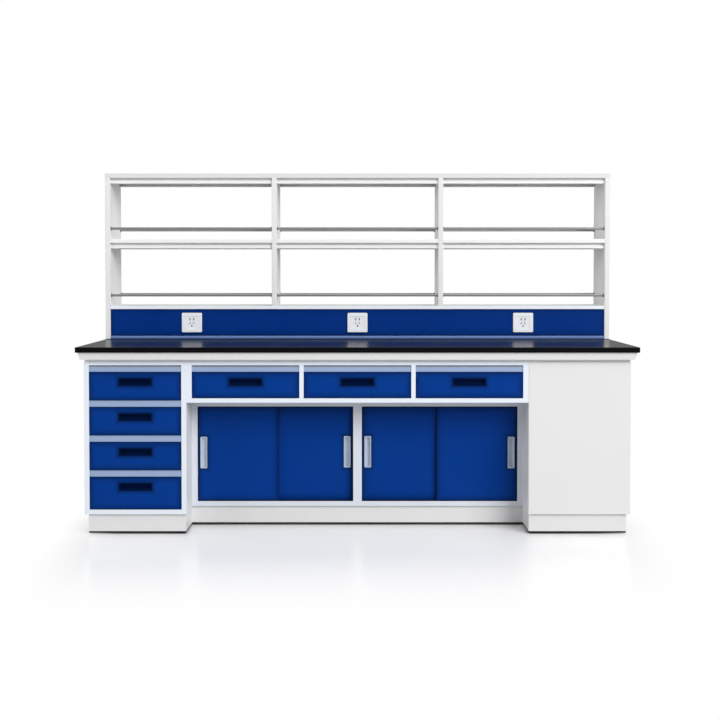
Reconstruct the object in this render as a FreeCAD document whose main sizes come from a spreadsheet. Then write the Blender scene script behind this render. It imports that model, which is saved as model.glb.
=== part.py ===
"""Laboratory side bench with a reagent rack along its rear edge.

A black worktop lies on a white steel sub-frame. Under it stand a four-drawer pedestal on the left, a plain
closed unit on the right, and between them a three-drawer apron over two recessed cabinets with sliding doors.
The rack has two end uprights and two middle ones, a cap, a middle shelf, guard rails and a socket raceway.

Frame: X runs along the bench, -Y is the front, Z is up. The origin is on the floor under the bench's centre.
"""
import FreeCAD, Part
import os
import re

import Sketcher

V = FreeCAD.Vector
doc = FreeCAD.newDocument("LabBench")
sheet = doc.addObject("Spreadsheet::Sheet", "Sizes")

# Driving dimensions in millimetres: alias, value, meaning.
SIZES = (
    ("worktop_length", "2520", "overall length of the bench"),
    ("bench_depth", "750", "overall depth, front edge to rear edge of the worktop"),
    ("worktop_height", "850", "floor to working surface"),
    ("worktop_thick", "24", "thickness of the worktop slab"),
    ("worktop_rounding", "2", "radius broken on the slab's edges"),
    ("support_height", "33", "height of the sub-frame's channels"),
    ("support_top_inset", "8", "sub-frame set in from the worktop edge at its top"),
    ("support_bottom_inset", "18", "and at its bottom, so that its face is flared"),
    ("support_channel", "50", "depth of the channels, measured from the worktop edge"),
    ("support_sheet", "2", "wall of the sub-frame's channels"),
    ("crossbar_width", "40", "width of a sub-frame cross tube"),
    ("collar_height", "12", "raised collar on each unit that carries the sub-frame"),
    ("collar_inset", "14", "collar set in from the unit's face"),
    ("collar_thick", "3", "wall of the collar"),
    ("front_overhang", "40", "worktop edge in front of the drawer faces"),
    ("side_overhang", "28", "worktop end beyond the pedestal's side"),
    ("unit_depth", "640", "depth of the pedestals and the apron"),
    ("pedestal_width", "461", "width of the drawer pedestal and of the closed unit"),
    ("case_floor_height", "92", "floor to underside of every case"),
    ("case_sheet", "1.2", "steel sheet of cases, drawers and doors"),
    ("front_fold", "45", "depth to which the front frames are folded back"),
    ("rear_fold", "20", "depth of the returns at the back of a case"),
    ("runner_post", "160", "depth of the rear uprights that carry the runners"),
    ("pedestal_stile", "22.5", "front stile of a pedestal"),
    ("apron_stile", "24.5", "end stile of the apron and outer stile of the cabinets"),
    ("divider_width", "19.5", "partition between two apron drawers"),
    ("mullion_stile", "20", "inner stile of each cabinet, two of which meet at the centre"),
    ("top_rail", "14", "flush rail along the top of the cases"),
    ("head_strip", "30", "recessed strip above the first row of drawers"),
    ("drawer_strip", "28", "recessed strip between two pedestal drawers"),
    ("drawer_front_height", "130", "opening of an upper pedestal drawer"),
    ("bottom_rail", "21", "flush rail under the lowest drawer"),
    ("strip_recess", "5", "strips set back behind the drawer faces"),
    ("strip_sheet", "1", "trim channel that lines a recessed strip"),
    ("strip_lip", "3", "depth of the trim channel's lips"),
    ("apron_front_height", "120", "opening of an apron drawer"),
    ("apron_rail", "19.5", "flush rail under the apron drawers"),
    ("reveal", "1.5", "gap round an inset drawer front"),
    ("front_thick", "18", "thickness of a drawer front"),
    ("panel_rounding", "1.2", "radius broken on the front edges of drawer fronts and doors"),
    ("drawer_length", "500", "length of a drawer box and of its runners"),
    ("slide_gap", "13", "space for a runner on each side of a drawer box"),
    ("box_lift", "10", "drawer box above the bottom of its opening"),
    ("box_headroom", "22", "drawer box below the top of its opening"),
    ("runner_rise", "30", "runner axis above the bottom of the drawer box"),
    ("runner_half", "17.5", "half height of the fixed runner channel"),
    ("runner_reach", "8.8", "width of the fixed runner channel"),
    ("runner_lip", "4", "inturned lip of the fixed channel"),
    ("runner_sheet", "1.2", "steel of both runner channels"),
    ("runner_play", "0.3", "running clearance between the two channels"),
    ("runner_backset", "3", "fixed runner behind the drawer front's inner face"),
    ("pull_length", "150", "flange length of a drawer pull"),
    ("pull_height", "35", "flange height of a drawer pull"),
    ("pull_drop", "46", "pull centre below the top of its opening"),
    ("pull_flange", "1.5", "flange of a pull, proud of the face"),
    ("pull_corner", "5", "corner radius of a pull's flange"),
    ("pull_rim", "7", "flange round the pocket of a pull"),
    ("pull_depth", "13", "depth of the cup behind the face"),
    ("pull_wall", "1.6", "wall of a pull's cup"),
    ("pull_fit", "0.3", "cup in its cut-out, all round"),
    ("cabinet_setback", "154", "cabinets behind the pedestals' faces"),
    ("cabinet_head", "38.5", "rail over the sliding doors"),
    ("cabinet_sill", "23", "rail under the sliding doors"),
    ("door_thick", "16", "thickness of a sliding door"),
    ("door_setback", "6", "front door behind the cabinet's face"),
    ("door_gap", "4", "space between the two doors of a pair"),
    ("door_overlap", "26", "overlap of a closed pair"),
    ("door_end_play", "1", "door clear of the stile it closes against"),
    ("door_pull_width", "32", "flange width of a door pull"),
    ("door_pull_length", "148", "flange length of a door pull"),
    ("door_pull_height", "342", "centre of a door pull above the floor"),
    ("door_pull_edge", "11", "door pull in from the door's edge"),
    ("door_pull_depth", "9", "depth of a door pull behind the face"),
    ("door_pull_floor", "7", "width of the floor of a door pull's trough"),
    ("track_rib", "2", "outer rib of a door track"),
    ("track_play", "0.5", "door in its groove, each side"),
    ("track_floor", "12", "thickness of the bottom track under its grooves"),
    ("track_rib_height", "6", "height of the bottom track's ribs"),
    ("track_head", "17", "head channel above the visible opening"),
    ("track_top_plate", "2", "thickness of the top track above its grooves"),
    ("track_top_rib", "13", "depth of the top track's grooves"),
    ("door_top_entry", "8", "door above the visible opening, inside the top track"),
    ("door_rest", "0.3", "door above the bottom track"),
    ("shelf_thick", "20", "folded edge of a cabinet shelf"),
    ("shelf_height", "340", "top of a cabinet shelf above the floor"),
    ("shelf_play", "0.3", "shelf between the case's sides"),
    ("shelf_setback", "15", "cabinet shelf behind the doors' zone"),
    ("clip_size", "18", "length of a shelf clip"),
    ("clip_thick", "4", "height of a shelf clip"),
    ("plinth_gap", "13", "floor to underside of the plinths"),
    ("plinth_setback", "10", "plinth behind the face above it"),
    ("plinth_outer_inset", "16", "plinth in from a pedestal's outer side"),
    ("plinth_inner_inset", "4", "plinth in from a pedestal's inner side"),
    ("plinth_sheet", "1.5", "steel of the plinths"),
    ("foot_radius", "19", "pad of a levelling foot"),
    ("foot_pad", "8", "height of the pad"),
    ("foot_nut_radius", "10", "radius over the corners of the lock nut"),
    ("foot_nut", "8", "height of the lock nut"),
    ("foot_stud", "5", "radius of the stud"),
    ("foot_inset", "60", "levelling feet in from the sides of a unit"),
    ("blank_corner", "4", "outer bend radius of the closed unit's casing"),
    ("blank_upstand", "30", "upstand of the closed unit's floor pan"),
    ("rack_depth", "225", "depth of the reagent rack"),
    ("rack_height", "829", "top of the rack above the worktop"),
    ("post_thick", "25", "width of a rack upright seen from the front"),
    ("post_sheet", "1.5", "steel of the uprights"),
    ("post_rounding", "2", "corners broken on the uprights"),
    ("cap_thick", "24", "thickness of the rack's cap"),
    ("cap_rounding", "1.5", "corners broken on the boards' long edges"),
    ("board_thick", "20", "thickness of the middle shelf boards"),
    ("board_rise", "501", "top of the middle shelf above the worktop"),
    ("beam_inset", "10", "shelf beams behind the uprights' front edges"),
    ("beam_groove", "11.5", "height of the groove between board and beam face"),
    ("beam_groove_depth", "9", "depth of that groove"),
    ("beam_strip", "15", "height of the beam's face"),
    ("beam_flange", "24", "width of the beam's flanges"),
    ("beam_sheet", "1.5", "steel of the beams"),
    ("guard_radius", "6.5", "radius of a guard rail"),
    ("guard_rise", "53", "guard rail above the shelf it protects"),
    ("guard_inset", "15", "guard rail in from the rack's front and rear faces"),
    ("cup_radius", "9", "radius of the cup that holds a guard rail's end"),
    ("cup_thick", "5", "thickness of that cup"),
    ("raceway_height", "167", "top of the raceway above the worktop"),
    ("raceway_top_lip", "16", "white lip over the panel"),
    ("raceway_bottom_lip", "15.5", "white lip under the panel"),
    ("raceway_return", "14", "return of the lips behind the panel"),
    ("panel_recess", "2", "panel behind the lips' faces"),
    ("panel_thick", "1.5", "thickness of the raceway panel"),
    ("panel_fit", "0.3", "panel between lips and uprights"),
    ("socket_shift", "3.7", "outer sockets nearer the middle than the centres of their bays"),
    ("socket_width", "100", "width of a socket plate"),
    ("socket_height", "97", "height of a socket plate"),
    ("socket_thick", "8", "thickness of a socket plate"),
    ("socket_corner", "5", "corner radius of a socket plate"),
    ("socket_edge", "1.5", "chamfer of the plate's front edge"),
    ("socket_rim", "18", "raised border round the socket's face"),
    ("socket_dish", "2", "face set back behind the border"),
    ("slot_width", "3.2", "width of a pin slot"),
    ("slot_length", "9", "length of a pin slot"),
    ("slot_depth", "4.5", "depth of a pin slot"),
    ("slot_spread", "9", "pin slots from the socket's centre line"),
    ("slot_upper", "17", "two-pin slots above the socket's centre"),
    ("slot_lower", "2", "three-pin slots below the socket's centre"),
    ("slot_earth", "14", "earth slot below the three-pin pair"),
    ("back_box", "80", "width and height of a socket's back box"),
    ("back_box_depth", "45", "depth of a back box"),
    ("back_box_wall", "2", "wall of a back box"),
    ("back_box_window", "70", "cut-out in the panel behind a socket plate"),
)

for row, (alias, text, meaning) in enumerate(SIZES, start=1):
    sheet.set(f"A{row}", meaning)
    sheet.set(f"B{row}", text)
    sheet.setAlias(f"B{row}", alias)
doc.recompute()
ALIASES = {alias for alias, _, _ in SIZES}


# ---------------------------------------------------------------- helpers

def bind(text):
    """Turn an expression in aliases into one that the document's objects understand."""
    return re.sub(r"[a-z]\w*", lambda word: "Sizes." + word[0] if word[0] in ALIASES else word[0], text)


def number(text):
    """The present value of an expression."""
    found = sheet.evalExpression(bind(text))
    return float(getattr(found, "Value", found))


def negative(text):
    return f"(-({text}))"


def mirrored(span):
    """The span on the other side of the plane X = 0 (or Y = 0)."""
    low, high = span
    return negative(high), negative(low)


def inset(span, by):
    low, high = span
    return f"({low}+{by})", f"({high}-{by})"


def block(name, x, y, z):
    """A box between the expressions x = (low, high), y and z."""
    made = doc.addObject("Part::Box", name)
    for length, axis, (low, high) in zip(("Length", "Width", "Height"), "xyz", (x, y, z)):
        made.setExpression(length, bind(f"({high})-({low})"))
        made.setExpression(f"Placement.Base.{axis}", bind(f"{low}"))
    return made


def fuse(name, pieces):
    joined = doc.addObject("Part::MultiFuse", name)
    joined.Shapes = pieces
    joined.Refine = True
    return joined


def cut(name, base, tools):
    result = doc.addObject("Part::Cut", name)
    result.Base = base
    result.Tool = tools[0] if len(tools) == 1 else fuse(f"{name}_tools", tools)
    result.Refine = True
    return result


def ring(name, x, y, z, wall):
    """A box-section sleeve or frame: four upright walls, open above and below."""
    core = block(f"{name}_core", inset(x, wall), inset(y, wall), (f"{z[0]}-{wall}", f"{z[1]}+{wall}"))
    return cut(name, block(f"{name}_blank", x, y, z), [core])


def group(name, pieces):
    """Separate solids that share one node."""
    together = doc.addObject("Part::Compound", name)
    together.Links = pieces
    return together


def draw(body, plane, offset, *loops):
    """A fully constrained sketch of closed loops, each corner a pair of expressions."""
    sketch = body.newObject("Sketcher::SketchObject", f"{body.Name}_outline")
    origin_plane = next(o for o in body.Origin.OriginFeatures if o.Role == f"{plane}_Plane")
    sketch.AttachmentSupport = [(origin_plane, "")]
    sketch.MapMode = "FlatFace"
    sketch.setExpression("AttachmentOffset.Base.z", bind(offset))
    for corners in loops:
        first, count = sketch.GeometryCount, len(corners)
        points = [V(number(u), number(v), 0) for u, v in corners]
        lines = [Part.LineSegment(points[i], points[(i + 1) % count]) for i in range(count)]
        sketch.addGeometry(lines, False)
        sketch.addConstraint([
            Sketcher.Constraint("Coincident", first + i, 2, first + (i + 1) % count, 1)
            for i in range(count)])
        for i, corner in enumerate(corners):
            for kind, text in zip(("DistanceX", "DistanceY"), corner):
                row = sketch.addConstraint(Sketcher.Constraint(kind, -1, 1, first + i, 1, number(text)))
                sketch.setExpression(f"Constraints[{row}]", bind(text))
    return sketch


def pad(body, sketch, length, both_ways=False):
    feature = body.newObject("PartDesign::Pad", f"{body.Name}_pad")
    feature.Profile = sketch
    feature.setExpression("Length", bind(length))
    feature.Midplane = both_ways
    return feature


def pocket(body, sketch, depth, both_ways=False, from_behind=False):
    feature = body.newObject("PartDesign::Pocket", f"{body.Name}_pocket")
    feature.Profile = sketch
    feature.setExpression("Length", bind(depth))
    feature.Midplane = both_ways
    feature.Reversed = from_behind
    return feature


def dress_edges(body, feature, kind, size, wanted):
    """Fillet or chamfer (kind) the edges of a feature that the test picks."""
    doc.recompute()
    names = [f"Edge{i}" for i, edge in enumerate(feature.Shape.Edges, start=1) if wanted(edge)]
    dressing = body.newObject(f"PartDesign::{kind}", f"{body.Name}_{kind.lower()}")
    dressing.Base = (feature, names)
    dressing.setExpression("Radius" if kind == "Fillet" else "Size", bind(size))
    return dressing


def round_edges(body, feature, radius, wanted):
    return dress_edges(body, feature, "Fillet", radius, wanted)


def runs_along(axis):
    """A test for straight edges along a direction."""
    def test(edge):
        if len(edge.Vertexes) < 2 or edge.Curve.TypeId != "Part::GeomLine":
            return False
        return abs(edge.tangentAt(edge.FirstParameter).dot(axis)) > 0.999
    return test


def rectangle(u, v):
    return ((u[0], v[0]), (u[1], v[0]), (u[1], v[1]), (u[0], v[1]))


def new_body(label):
    return doc.addObject("PartDesign::Body", label)


def extrusion(label, plane, offset, length, *loops):
    """A body padded from one sketch: XZ pads towards -Y, XY towards +Z, YZ towards +X."""
    body = new_body(label)
    pad(body, draw(body, plane, offset, *loops), length)
    return body


NODES = []


def node(made, label):
    """Give a finished sub-part its name."""
    made.Label = label
    NODES.append(made)
    return made


# ---------------------------------------------------------------- shared places

LENGTH = ("(-worktop_length/2)", "(worktop_length/2)")
FRONT_EDGE = "(-bench_depth/2)"
REAR_EDGE = "(bench_depth/2)"
SLAB_UNDER = "(worktop_height-worktop_thick)"
FRAME_UNDER = f"({SLAB_UNDER}-support_height)"
CASE_TOP = f"({FRAME_UNDER}-collar_height)"
FACE = f"({FRONT_EDGE}+front_overhang)"
CASE_BACK = f"({FACE}+unit_depth)"
UNIT_OUTER = "(worktop_length/2-side_overhang)"
UNIT_INNER = f"({UNIT_OUTER}-pedestal_width)"
LEFT_UNIT = (negative(UNIT_OUTER), negative(UNIT_INNER))
RIGHT_UNIT = (UNIT_INNER, UNIT_OUTER)
MIDDLE = (negative(UNIT_INNER), UNIT_INNER)
HEAD = f"({CASE_TOP}-top_rail-head_strip)"
APRON_SILL = f"({HEAD}-apron_front_height)"
APRON_UNDER = f"({APRON_SILL}-apron_rail)"
CABINET_FACE = f"({FACE}+cabinet_setback)"
RACK_FACE = f"({REAR_EDGE}-rack_depth)"
RACEWAY_TOP = "(worktop_height+raceway_height)"
BOARD_TOP = "(worktop_height+board_rise)"
RACK_TOP = "(worktop_height+rack_height)"
CAP_UNDER = f"({RACK_TOP}-cap_thick)"
BAY_WIDTH = "((worktop_length-4*post_thick)/3)"


# ---------------------------------------------------------------- worktop and sub-frame

def make_worktop():
    body = new_body("worktop")
    outline = rectangle(LENGTH, (FRONT_EDGE, REAR_EDGE))
    slab = pad(body, draw(body, "XY", SLAB_UNDER, outline), "worktop_thick")
    upright = runs_along(V(0, 0, 1))
    round_edges(body, slab, "worktop_rounding", lambda edge: not upright(edge))
    node(body, "worktop")


def flared_block(name, x_low, x_high, y_low, y_high, z):
    """A block whose lower and upper rectangles differ: each argument but z is (at the bottom, at the top)."""
    wedge = doc.addObject("Part::Wedge", name)
    wedge.Placement = FreeCAD.Placement(V(0, 0, 0), FreeCAD.Rotation(V(1, 0, 0), 90))
    places = {"Ymin": z[0], "Ymax": z[1],
              "Xmin": x_low[0], "Xmax": x_high[0], "X2min": x_low[1], "X2max": x_high[1],
              "Zmin": negative(y_high[0]), "Zmax": negative(y_low[0]),
              "Z2min": negative(y_high[1]), "Z2max": negative(y_low[1])}
    for place, text in places.items():
        wedge.setExpression(place, bind(text))
    return wedge


def make_support_rails():
    """Front, rear and end channels, open to the inside, their outer faces flared up to the worktop."""
    z = (FRAME_UNDER, SLAB_UNDER)
    z_inside = inset(z, "support_sheet")
    ends = [f"(worktop_length/2-support_{level}_inset)" for level in ("bottom", "top")]
    edges = [f"(bench_depth/2-support_{level}_inset)" for level in ("bottom", "top")]
    inner_edge = "(bench_depth/2-support_channel)"
    inner_end = "(worktop_length/2-support_channel)"
    steel = "support_sheet"

    def long_channel(name, front):
        def across(low, high):
            return ([negative(t) for t in high], [negative(t) for t in low]) if front else (low, high)
        outside = flared_block(f"{name}_outside", [negative(t) for t in ends], ends,
                               *across([inner_edge] * 2, edges), z)
        skin = [f"({t}-{steel})" for t in ends]
        hollow = flared_block(f"{name}_hollow", [negative(t) for t in skin], skin,
                              *across([f"({inner_edge}-{steel})"] * 2, [f"({t}-{steel})" for t in edges]),
                              z_inside)
        return cut(name, outside, [hollow])

    def end_channel(name, left):
        def along(low, high):
            return ([negative(t) for t in high], [negative(t) for t in low]) if left else (low, high)
        span = ([negative(inner_edge)] * 2, [inner_edge] * 2)
        outside = flared_block(f"{name}_outside", *along([inner_end] * 2, ends), *span, z)
        through = ([f"({negative(inner_edge)}-{steel})"] * 2, [f"({inner_edge}+{steel})"] * 2)
        hollow = flared_block(f"{name}_hollow",
                              *along([f"({inner_end}-{steel})"] * 2, [f"({t}-{steel})" for t in ends]),
                              *through, z_inside)
        return cut(name, outside, [hollow])

    node(group("support_rails", [long_channel("front_channel", True), long_channel("rear_channel", False),
                                 end_channel("left_channel", True), end_channel("right_channel", False)]),
         "support_rails")


def make_crossbars():
    """Rectangular tubes between the long channels, over the cases' sides and the cabinets' middles."""
    y = ("(-bench_depth/2+support_channel)", "(bench_depth/2-support_channel)")
    z = (FRAME_UNDER, SLAB_UNDER)
    half = "crossbar_width/2"
    centres = ["0"]
    for place in (f"worktop_length/2-support_channel-{half}", UNIT_INNER, f"{UNIT_INNER}/2"):
        centres += [f"({place})", negative(place)]
    tubes = []
    for count, centre in enumerate(centres, start=1):
        x = (f"({centre}-{half})", f"({centre}+{half})")
        core = block(f"crossbar_core_{count}", inset(x, "support_sheet"),
                     (f"{y[0]}-support_sheet", f"{y[1]}+support_sheet"), inset(z, "support_sheet"))
        tubes.append(cut(f"crossbar_{count}", block(f"crossbar_bar_{count}", x, y, z), [core]))
    node(group("support_crossbars", tubes), "support_crossbars")


# ---------------------------------------------------------------- cases

def folded_case(label, x, face, z, stiles, openings, recesses=(), rails=(), extras=(), collar=None,
                post="rear_fold"):
    """A sheet-steel case, open on top inside its folded edge.

    openings and recesses: z spans of the windows in the front frame. rails: (z, recess) of each cross rail,
    hollow from behind. post: depth of the rear uprights.
    """
    steel = "case_sheet"
    fold, rear = f"({face}+front_fold)", f"({CASE_BACK}-rear_fold)"
    inside_y = (f"({face}+{steel})", f"({CASE_BACK}-{steel})")
    inside_z = inset(z, steel)
    left, right = stiles
    bay = (f"({x[0]}+{left})", f"({x[1]}-{right})")
    tools = [block(f"{label}_bay", bay, (fold, inside_y[1]), inside_z),
             block(f"{label}_top", bay, (fold, rear), (inside_z[1], f"{z[1]}+{steel}"))]
    sides = (((f"{x[0]}+{steel}", f"{bay[0]}-{steel}"), (f"{x[0]}+{steel}", f"{bay[0]}+{steel}")),
             ((f"{bay[1]}+{steel}", f"{x[1]}-{steel}"), (f"{bay[1]}-{steel}", f"{x[1]}-{steel}")))
    for count, (channel, window) in enumerate(sides):
        tools.append(block(f"{label}_channel_{count}", channel, inside_y, inside_z))
        tools.append(block(f"{label}_side_window_{count}", window, (fold, f"({CASE_BACK}-{post})"), inside_z))
    for count, tall in enumerate(openings):
        tools.append(block(f"{label}_opening_{count}", bay, (f"{face}-{steel}", f"{fold}+{steel}"), tall))
    for count, tall in enumerate(recesses):
        tools.append(block(f"{label}_recess_{count}", bay, (f"{face}-{steel}", f"{face}+strip_recess"), tall))
    for count, (tall, recess) in enumerate(rails):
        behind = (f"{face}+{recess}+{steel}", f"{fold}+{steel}")
        tools.append(block(f"{label}_rail_{count}", bay, behind, tall))
    case = cut(f"{label}_case", block(f"{label}_blank", x, (face, CASE_BACK), z), tools)
    pieces = [case, *extras]
    if collar:
        collar_y = (f"({face}+collar_inset)", f"({CASE_BACK}-collar_inset)")
        pieces.append(ring(f"{label}_collar", collar, collar_y, (z[1], f"({z[1]}+collar_height)"),
                           "collar_thick"))
    return case if len(pieces) == 1 else fuse(label, pieces)


PEDESTAL_BAY = (f"({LEFT_UNIT[0]}+pedestal_stile)", f"({LEFT_UNIT[1]}-pedestal_stile)")
PEDESTAL_DRAWERS = 4
APRON_DRAWERS = 3
APRON_BAY_WIDTH = f"((2*{UNIT_INNER}-2*apron_stile-2*divider_width)/3)"


def pedestal_opening(row):
    """The z span of a pedestal drawer, counted from the top; the last one takes what is left."""
    top = f"({HEAD}-{row}*(drawer_front_height+drawer_strip))"
    if row == PEDESTAL_DRAWERS - 1:
        return "(case_floor_height+bottom_rail)", top
    return f"({top}-drawer_front_height)", top


def apron_bay(place):
    start = f"({negative(UNIT_INNER)}+apron_stile+{place}*({APRON_BAY_WIDTH}+divider_width))"
    return start, f"({start}+{APRON_BAY_WIDTH})"


def make_pedestal():
    steel = "case_sheet"
    z = ("case_floor_height", CASE_TOP)
    spans = [pedestal_opening(row) for row in range(PEDESTAL_DRAWERS)]
    strips = [(below[1], above[0]) for above, below in zip(spans, spans[1:])]
    rails = [(inset(strip, steel), "strip_recess") for strip in strips]
    rails += [((f"{HEAD}+{steel}", f"{CASE_TOP}-{steel}"), "strip_recess"),
              ((f"case_floor_height+{steel}", f"{spans[-1][0]}-{steel}"), "0")]
    collar = (f"({LEFT_UNIT[0]}+collar_inset)", LEFT_UNIT[1])
    node(folded_case("pedestal_case", LEFT_UNIT, FACE, z, ("pedestal_stile", "pedestal_stile"), spans,
                     [*strips, (HEAD, f"({HEAD}+head_strip)")], rails, collar=collar, post="runner_post"),
         "pedestal_carcass")


def make_recess_strips():
    """Trim channels in the recessed strips, between the pedestal's drawers and over each top drawer."""
    spans = [pedestal_opening(row) for row in range(PEDESTAL_DRAWERS)]
    places = [(PEDESTAL_BAY, (below[1], above[0])) for above, below in zip(spans, spans[1:])]
    head = (HEAD, f"({HEAD}+head_strip)")
    places += [(bay, head) for bay in (PEDESTAL_BAY, *[apron_bay(place) for place in range(APRON_DRAWERS)])]
    back, web = f"({FACE}+strip_recess)", f"({FACE}+strip_recess-strip_sheet)"
    lip = f"({back}-strip_lip)"
    channels = []
    for count, (x, (low, high)) in enumerate(places, start=1):
        inner = inset((low, high), "strip_sheet")
        section = ((back, low), (back, high), (lip, high), (lip, inner[1]), (web, inner[1]), (web, inner[0]),
                   (lip, inner[0]), (lip, low))
        channels.append(extrusion(f"recess_strip_{count}", "YZ", x[0], f"{x[1]}-{x[0]}", section))
    node(group("recess_strips", channels), "recess_strips")


def folded_member(name, x, z, hollow_x, recess="0"):
    """An upright or rail of the apron's front: a channel, open behind, its web thickened by the recess."""
    fold = f"({FACE}+front_fold)"
    hollow = block(f"{name}_hollow", hollow_x, (f"{FACE}+{recess}+case_sheet", f"{fold}+case_sheet"),
                   inset(z, "case_sheet"))
    return cut(name, block(f"{name}_blank", x, (FACE, fold), z), [hollow])


def make_apron():
    """The apron over the cabinets: uprights and rails in front, an open tray behind, and its inner frame."""
    steel = "case_sheet"
    z = (APRON_UNDER, CASE_TOP)
    inside_z = inset(z, steel)
    fold = f"({FACE}+front_fold)"
    inner_back = f"({CASE_BACK}-{steel})"
    bays = [apron_bay(place) for place in range(APRON_DRAWERS)]
    edges = [MIDDLE[0], *[edge for bay in bays for edge in bay], MIDDLE[1]]
    uprights = list(zip(edges[::2], edges[1::2]))
    members = [folded_member(f"apron_upright_{count}", upright, z, inset(upright, steel))
               for count, upright in enumerate(uprights)]
    for count, bay in enumerate(bays):
        through = (f"({bay[0]}-{steel})", f"({bay[1]}+{steel})")
        members.append(folded_member(f"apron_sill_{count}", bay, (APRON_UNDER, APRON_SILL), through))
        head = folded_member(f"apron_head_{count}", bay, (HEAD, CASE_TOP), through, "strip_recess")
        recess = block(f"apron_recess_{count}", through, (f"{FACE}-{steel}", f"{FACE}+strip_recess"),
                       (f"({HEAD}-{steel})", f"({HEAD}+head_strip)"))
        members.append(cut(f"apron_stepped_head_{count}", head, [recess]))
    node(group("apron_front_frame", members), "apron_front_frame")

    start = f"({fold}-{steel})"
    hollow = block("apron_tray_hollow", inset(MIDDLE, steel), (start, inner_back), inside_z)
    window = block("apron_tray_window", inset(MIDDLE, "apron_stile"), (start, f"({CASE_BACK}-rear_fold)"),
                   (f"{z[1]}-2*{steel}", f"{z[1]}+{steel}"))
    node(cut("apron_tray", block("apron_tray_blank", MIDDLE, (fold, CASE_BACK), z), [hollow, window]),
         "apron_case")

    inner = [ring(f"apron_partition_{count}", upright, (fold, inner_back), inside_z, steel)
             for count, upright in enumerate(uprights[1:-1])]
    corner = (f"({MIDDLE[0]}+{steel})", uprights[0][1])
    for count, span in enumerate((corner, mirrored(corner))):
        inner.append(ring(f"apron_runner_post_{count}", span, (f"({CASE_BACK}-runner_post)", inner_back),
                          inside_z, steel))
    tall = (z[1], f"({z[1]}+collar_height)")
    near, far = f"({FACE}+collar_inset)", f"({CASE_BACK}-collar_inset)"
    for side, span in (("front", (near, f"({near}+collar_thick)")), ("rear", (f"({far}-collar_thick)", far))):
        inner.append(block(f"apron_collar_{side}", MIDDLE, span, tall))
    end = (MIDDLE[0], f"({MIDDLE[0]}+collar_thick)")
    for side, span in (("left", end), ("right", mirrored(end))):
        between = (f"({near}+collar_thick)", f"({far}-collar_thick)")
        inner.append(block(f"apron_collar_{side}", span, between, tall))
    node(group("apron_inner_frame", inner), "apron_inner_frame")


def cabinet_span(left):
    return (negative(UNIT_INNER), "0") if left else ("0", UNIT_INNER)


def cabinet_bay(left):
    span = ("mullion_stile", f"({UNIT_INNER}-apron_stile)")
    return mirrored(span) if left else span


DOOR_OPENING = ("(case_floor_height+cabinet_sill)", f"({APRON_UNDER}-cabinet_head)")
HEAD_CHANNEL = f"({DOOR_OPENING[1]}+track_head)"
SHELF_Y = (f"({CABINET_FACE}+front_fold+shelf_setback)", f"({CASE_BACK}-rear_fold-shelf_play)")
SHELF_UNDER = "(shelf_height-shelf_thick)"


def make_cabinet(left):
    """A recessed cabinet: thin lips at sill and head, a head channel for the top track, four shelf clips."""
    label = "cabinet_left" if left else "cabinet_right"
    steel = "case_sheet"
    x = cabinet_span(left)
    z = ("case_floor_height", APRON_UNDER)
    stiles = ("apron_stile", "mullion_stile") if left else ("mullion_stile", "apron_stile")
    rails = [((f"case_floor_height+{steel}", f"{DOOR_OPENING[0]}+{steel}"), "0"),
             ((f"{DOOR_OPENING[1]}-{steel}", f"{APRON_UNDER}-{steel}"), "0")]
    head_y = (f"{CABINET_FACE}+{steel}/2", f"{CABINET_FACE}+front_fold")
    head = block(f"{label}_head", inset(x, steel), head_y, (HEAD_CHANNEL, f"{HEAD_CHANNEL}+{steel}"))
    clips = []
    inner = inset(x, f"{steel}/2")
    for side, wall in enumerate((inner[0], f"({inner[1]}-clip_size)")):
        for end, start in enumerate((SHELF_Y[0], f"({SHELF_Y[1]}-clip_size)")):
            clips.append(block(f"{label}_clip_{side}{end}", (wall, f"({wall}+clip_size)"),
                               (start, f"({start}+clip_size)"), (f"({SHELF_UNDER}-clip_thick)", SHELF_UNDER)))
    node(folded_case(f"{label}_unit", x, CABINET_FACE, z, stiles, [DOOR_OPENING], rails=rails,
                     extras=[head, *clips]),
         label)


def make_cabinet_shelves():
    """A folded steel shelf in each cabinet, open underneath."""
    shelves = []
    for left in (True, False):
        x = inset(cabinet_span(left), "(case_sheet+shelf_play)")
        name = "shelf_left" if left else "shelf_right"
        hollow = block(f"{name}_hollow", inset(x, "case_sheet"), inset(SHELF_Y, "case_sheet"),
                       (f"{SHELF_UNDER}-case_sheet", "shelf_height-case_sheet"))
        shelves.append(cut(name, block(f"{name}_blank", x, SHELF_Y, (SHELF_UNDER, "shelf_height")), [hollow]))
    node(group("cabinet_shelves", shelves), "cabinet_shelves")


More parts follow.
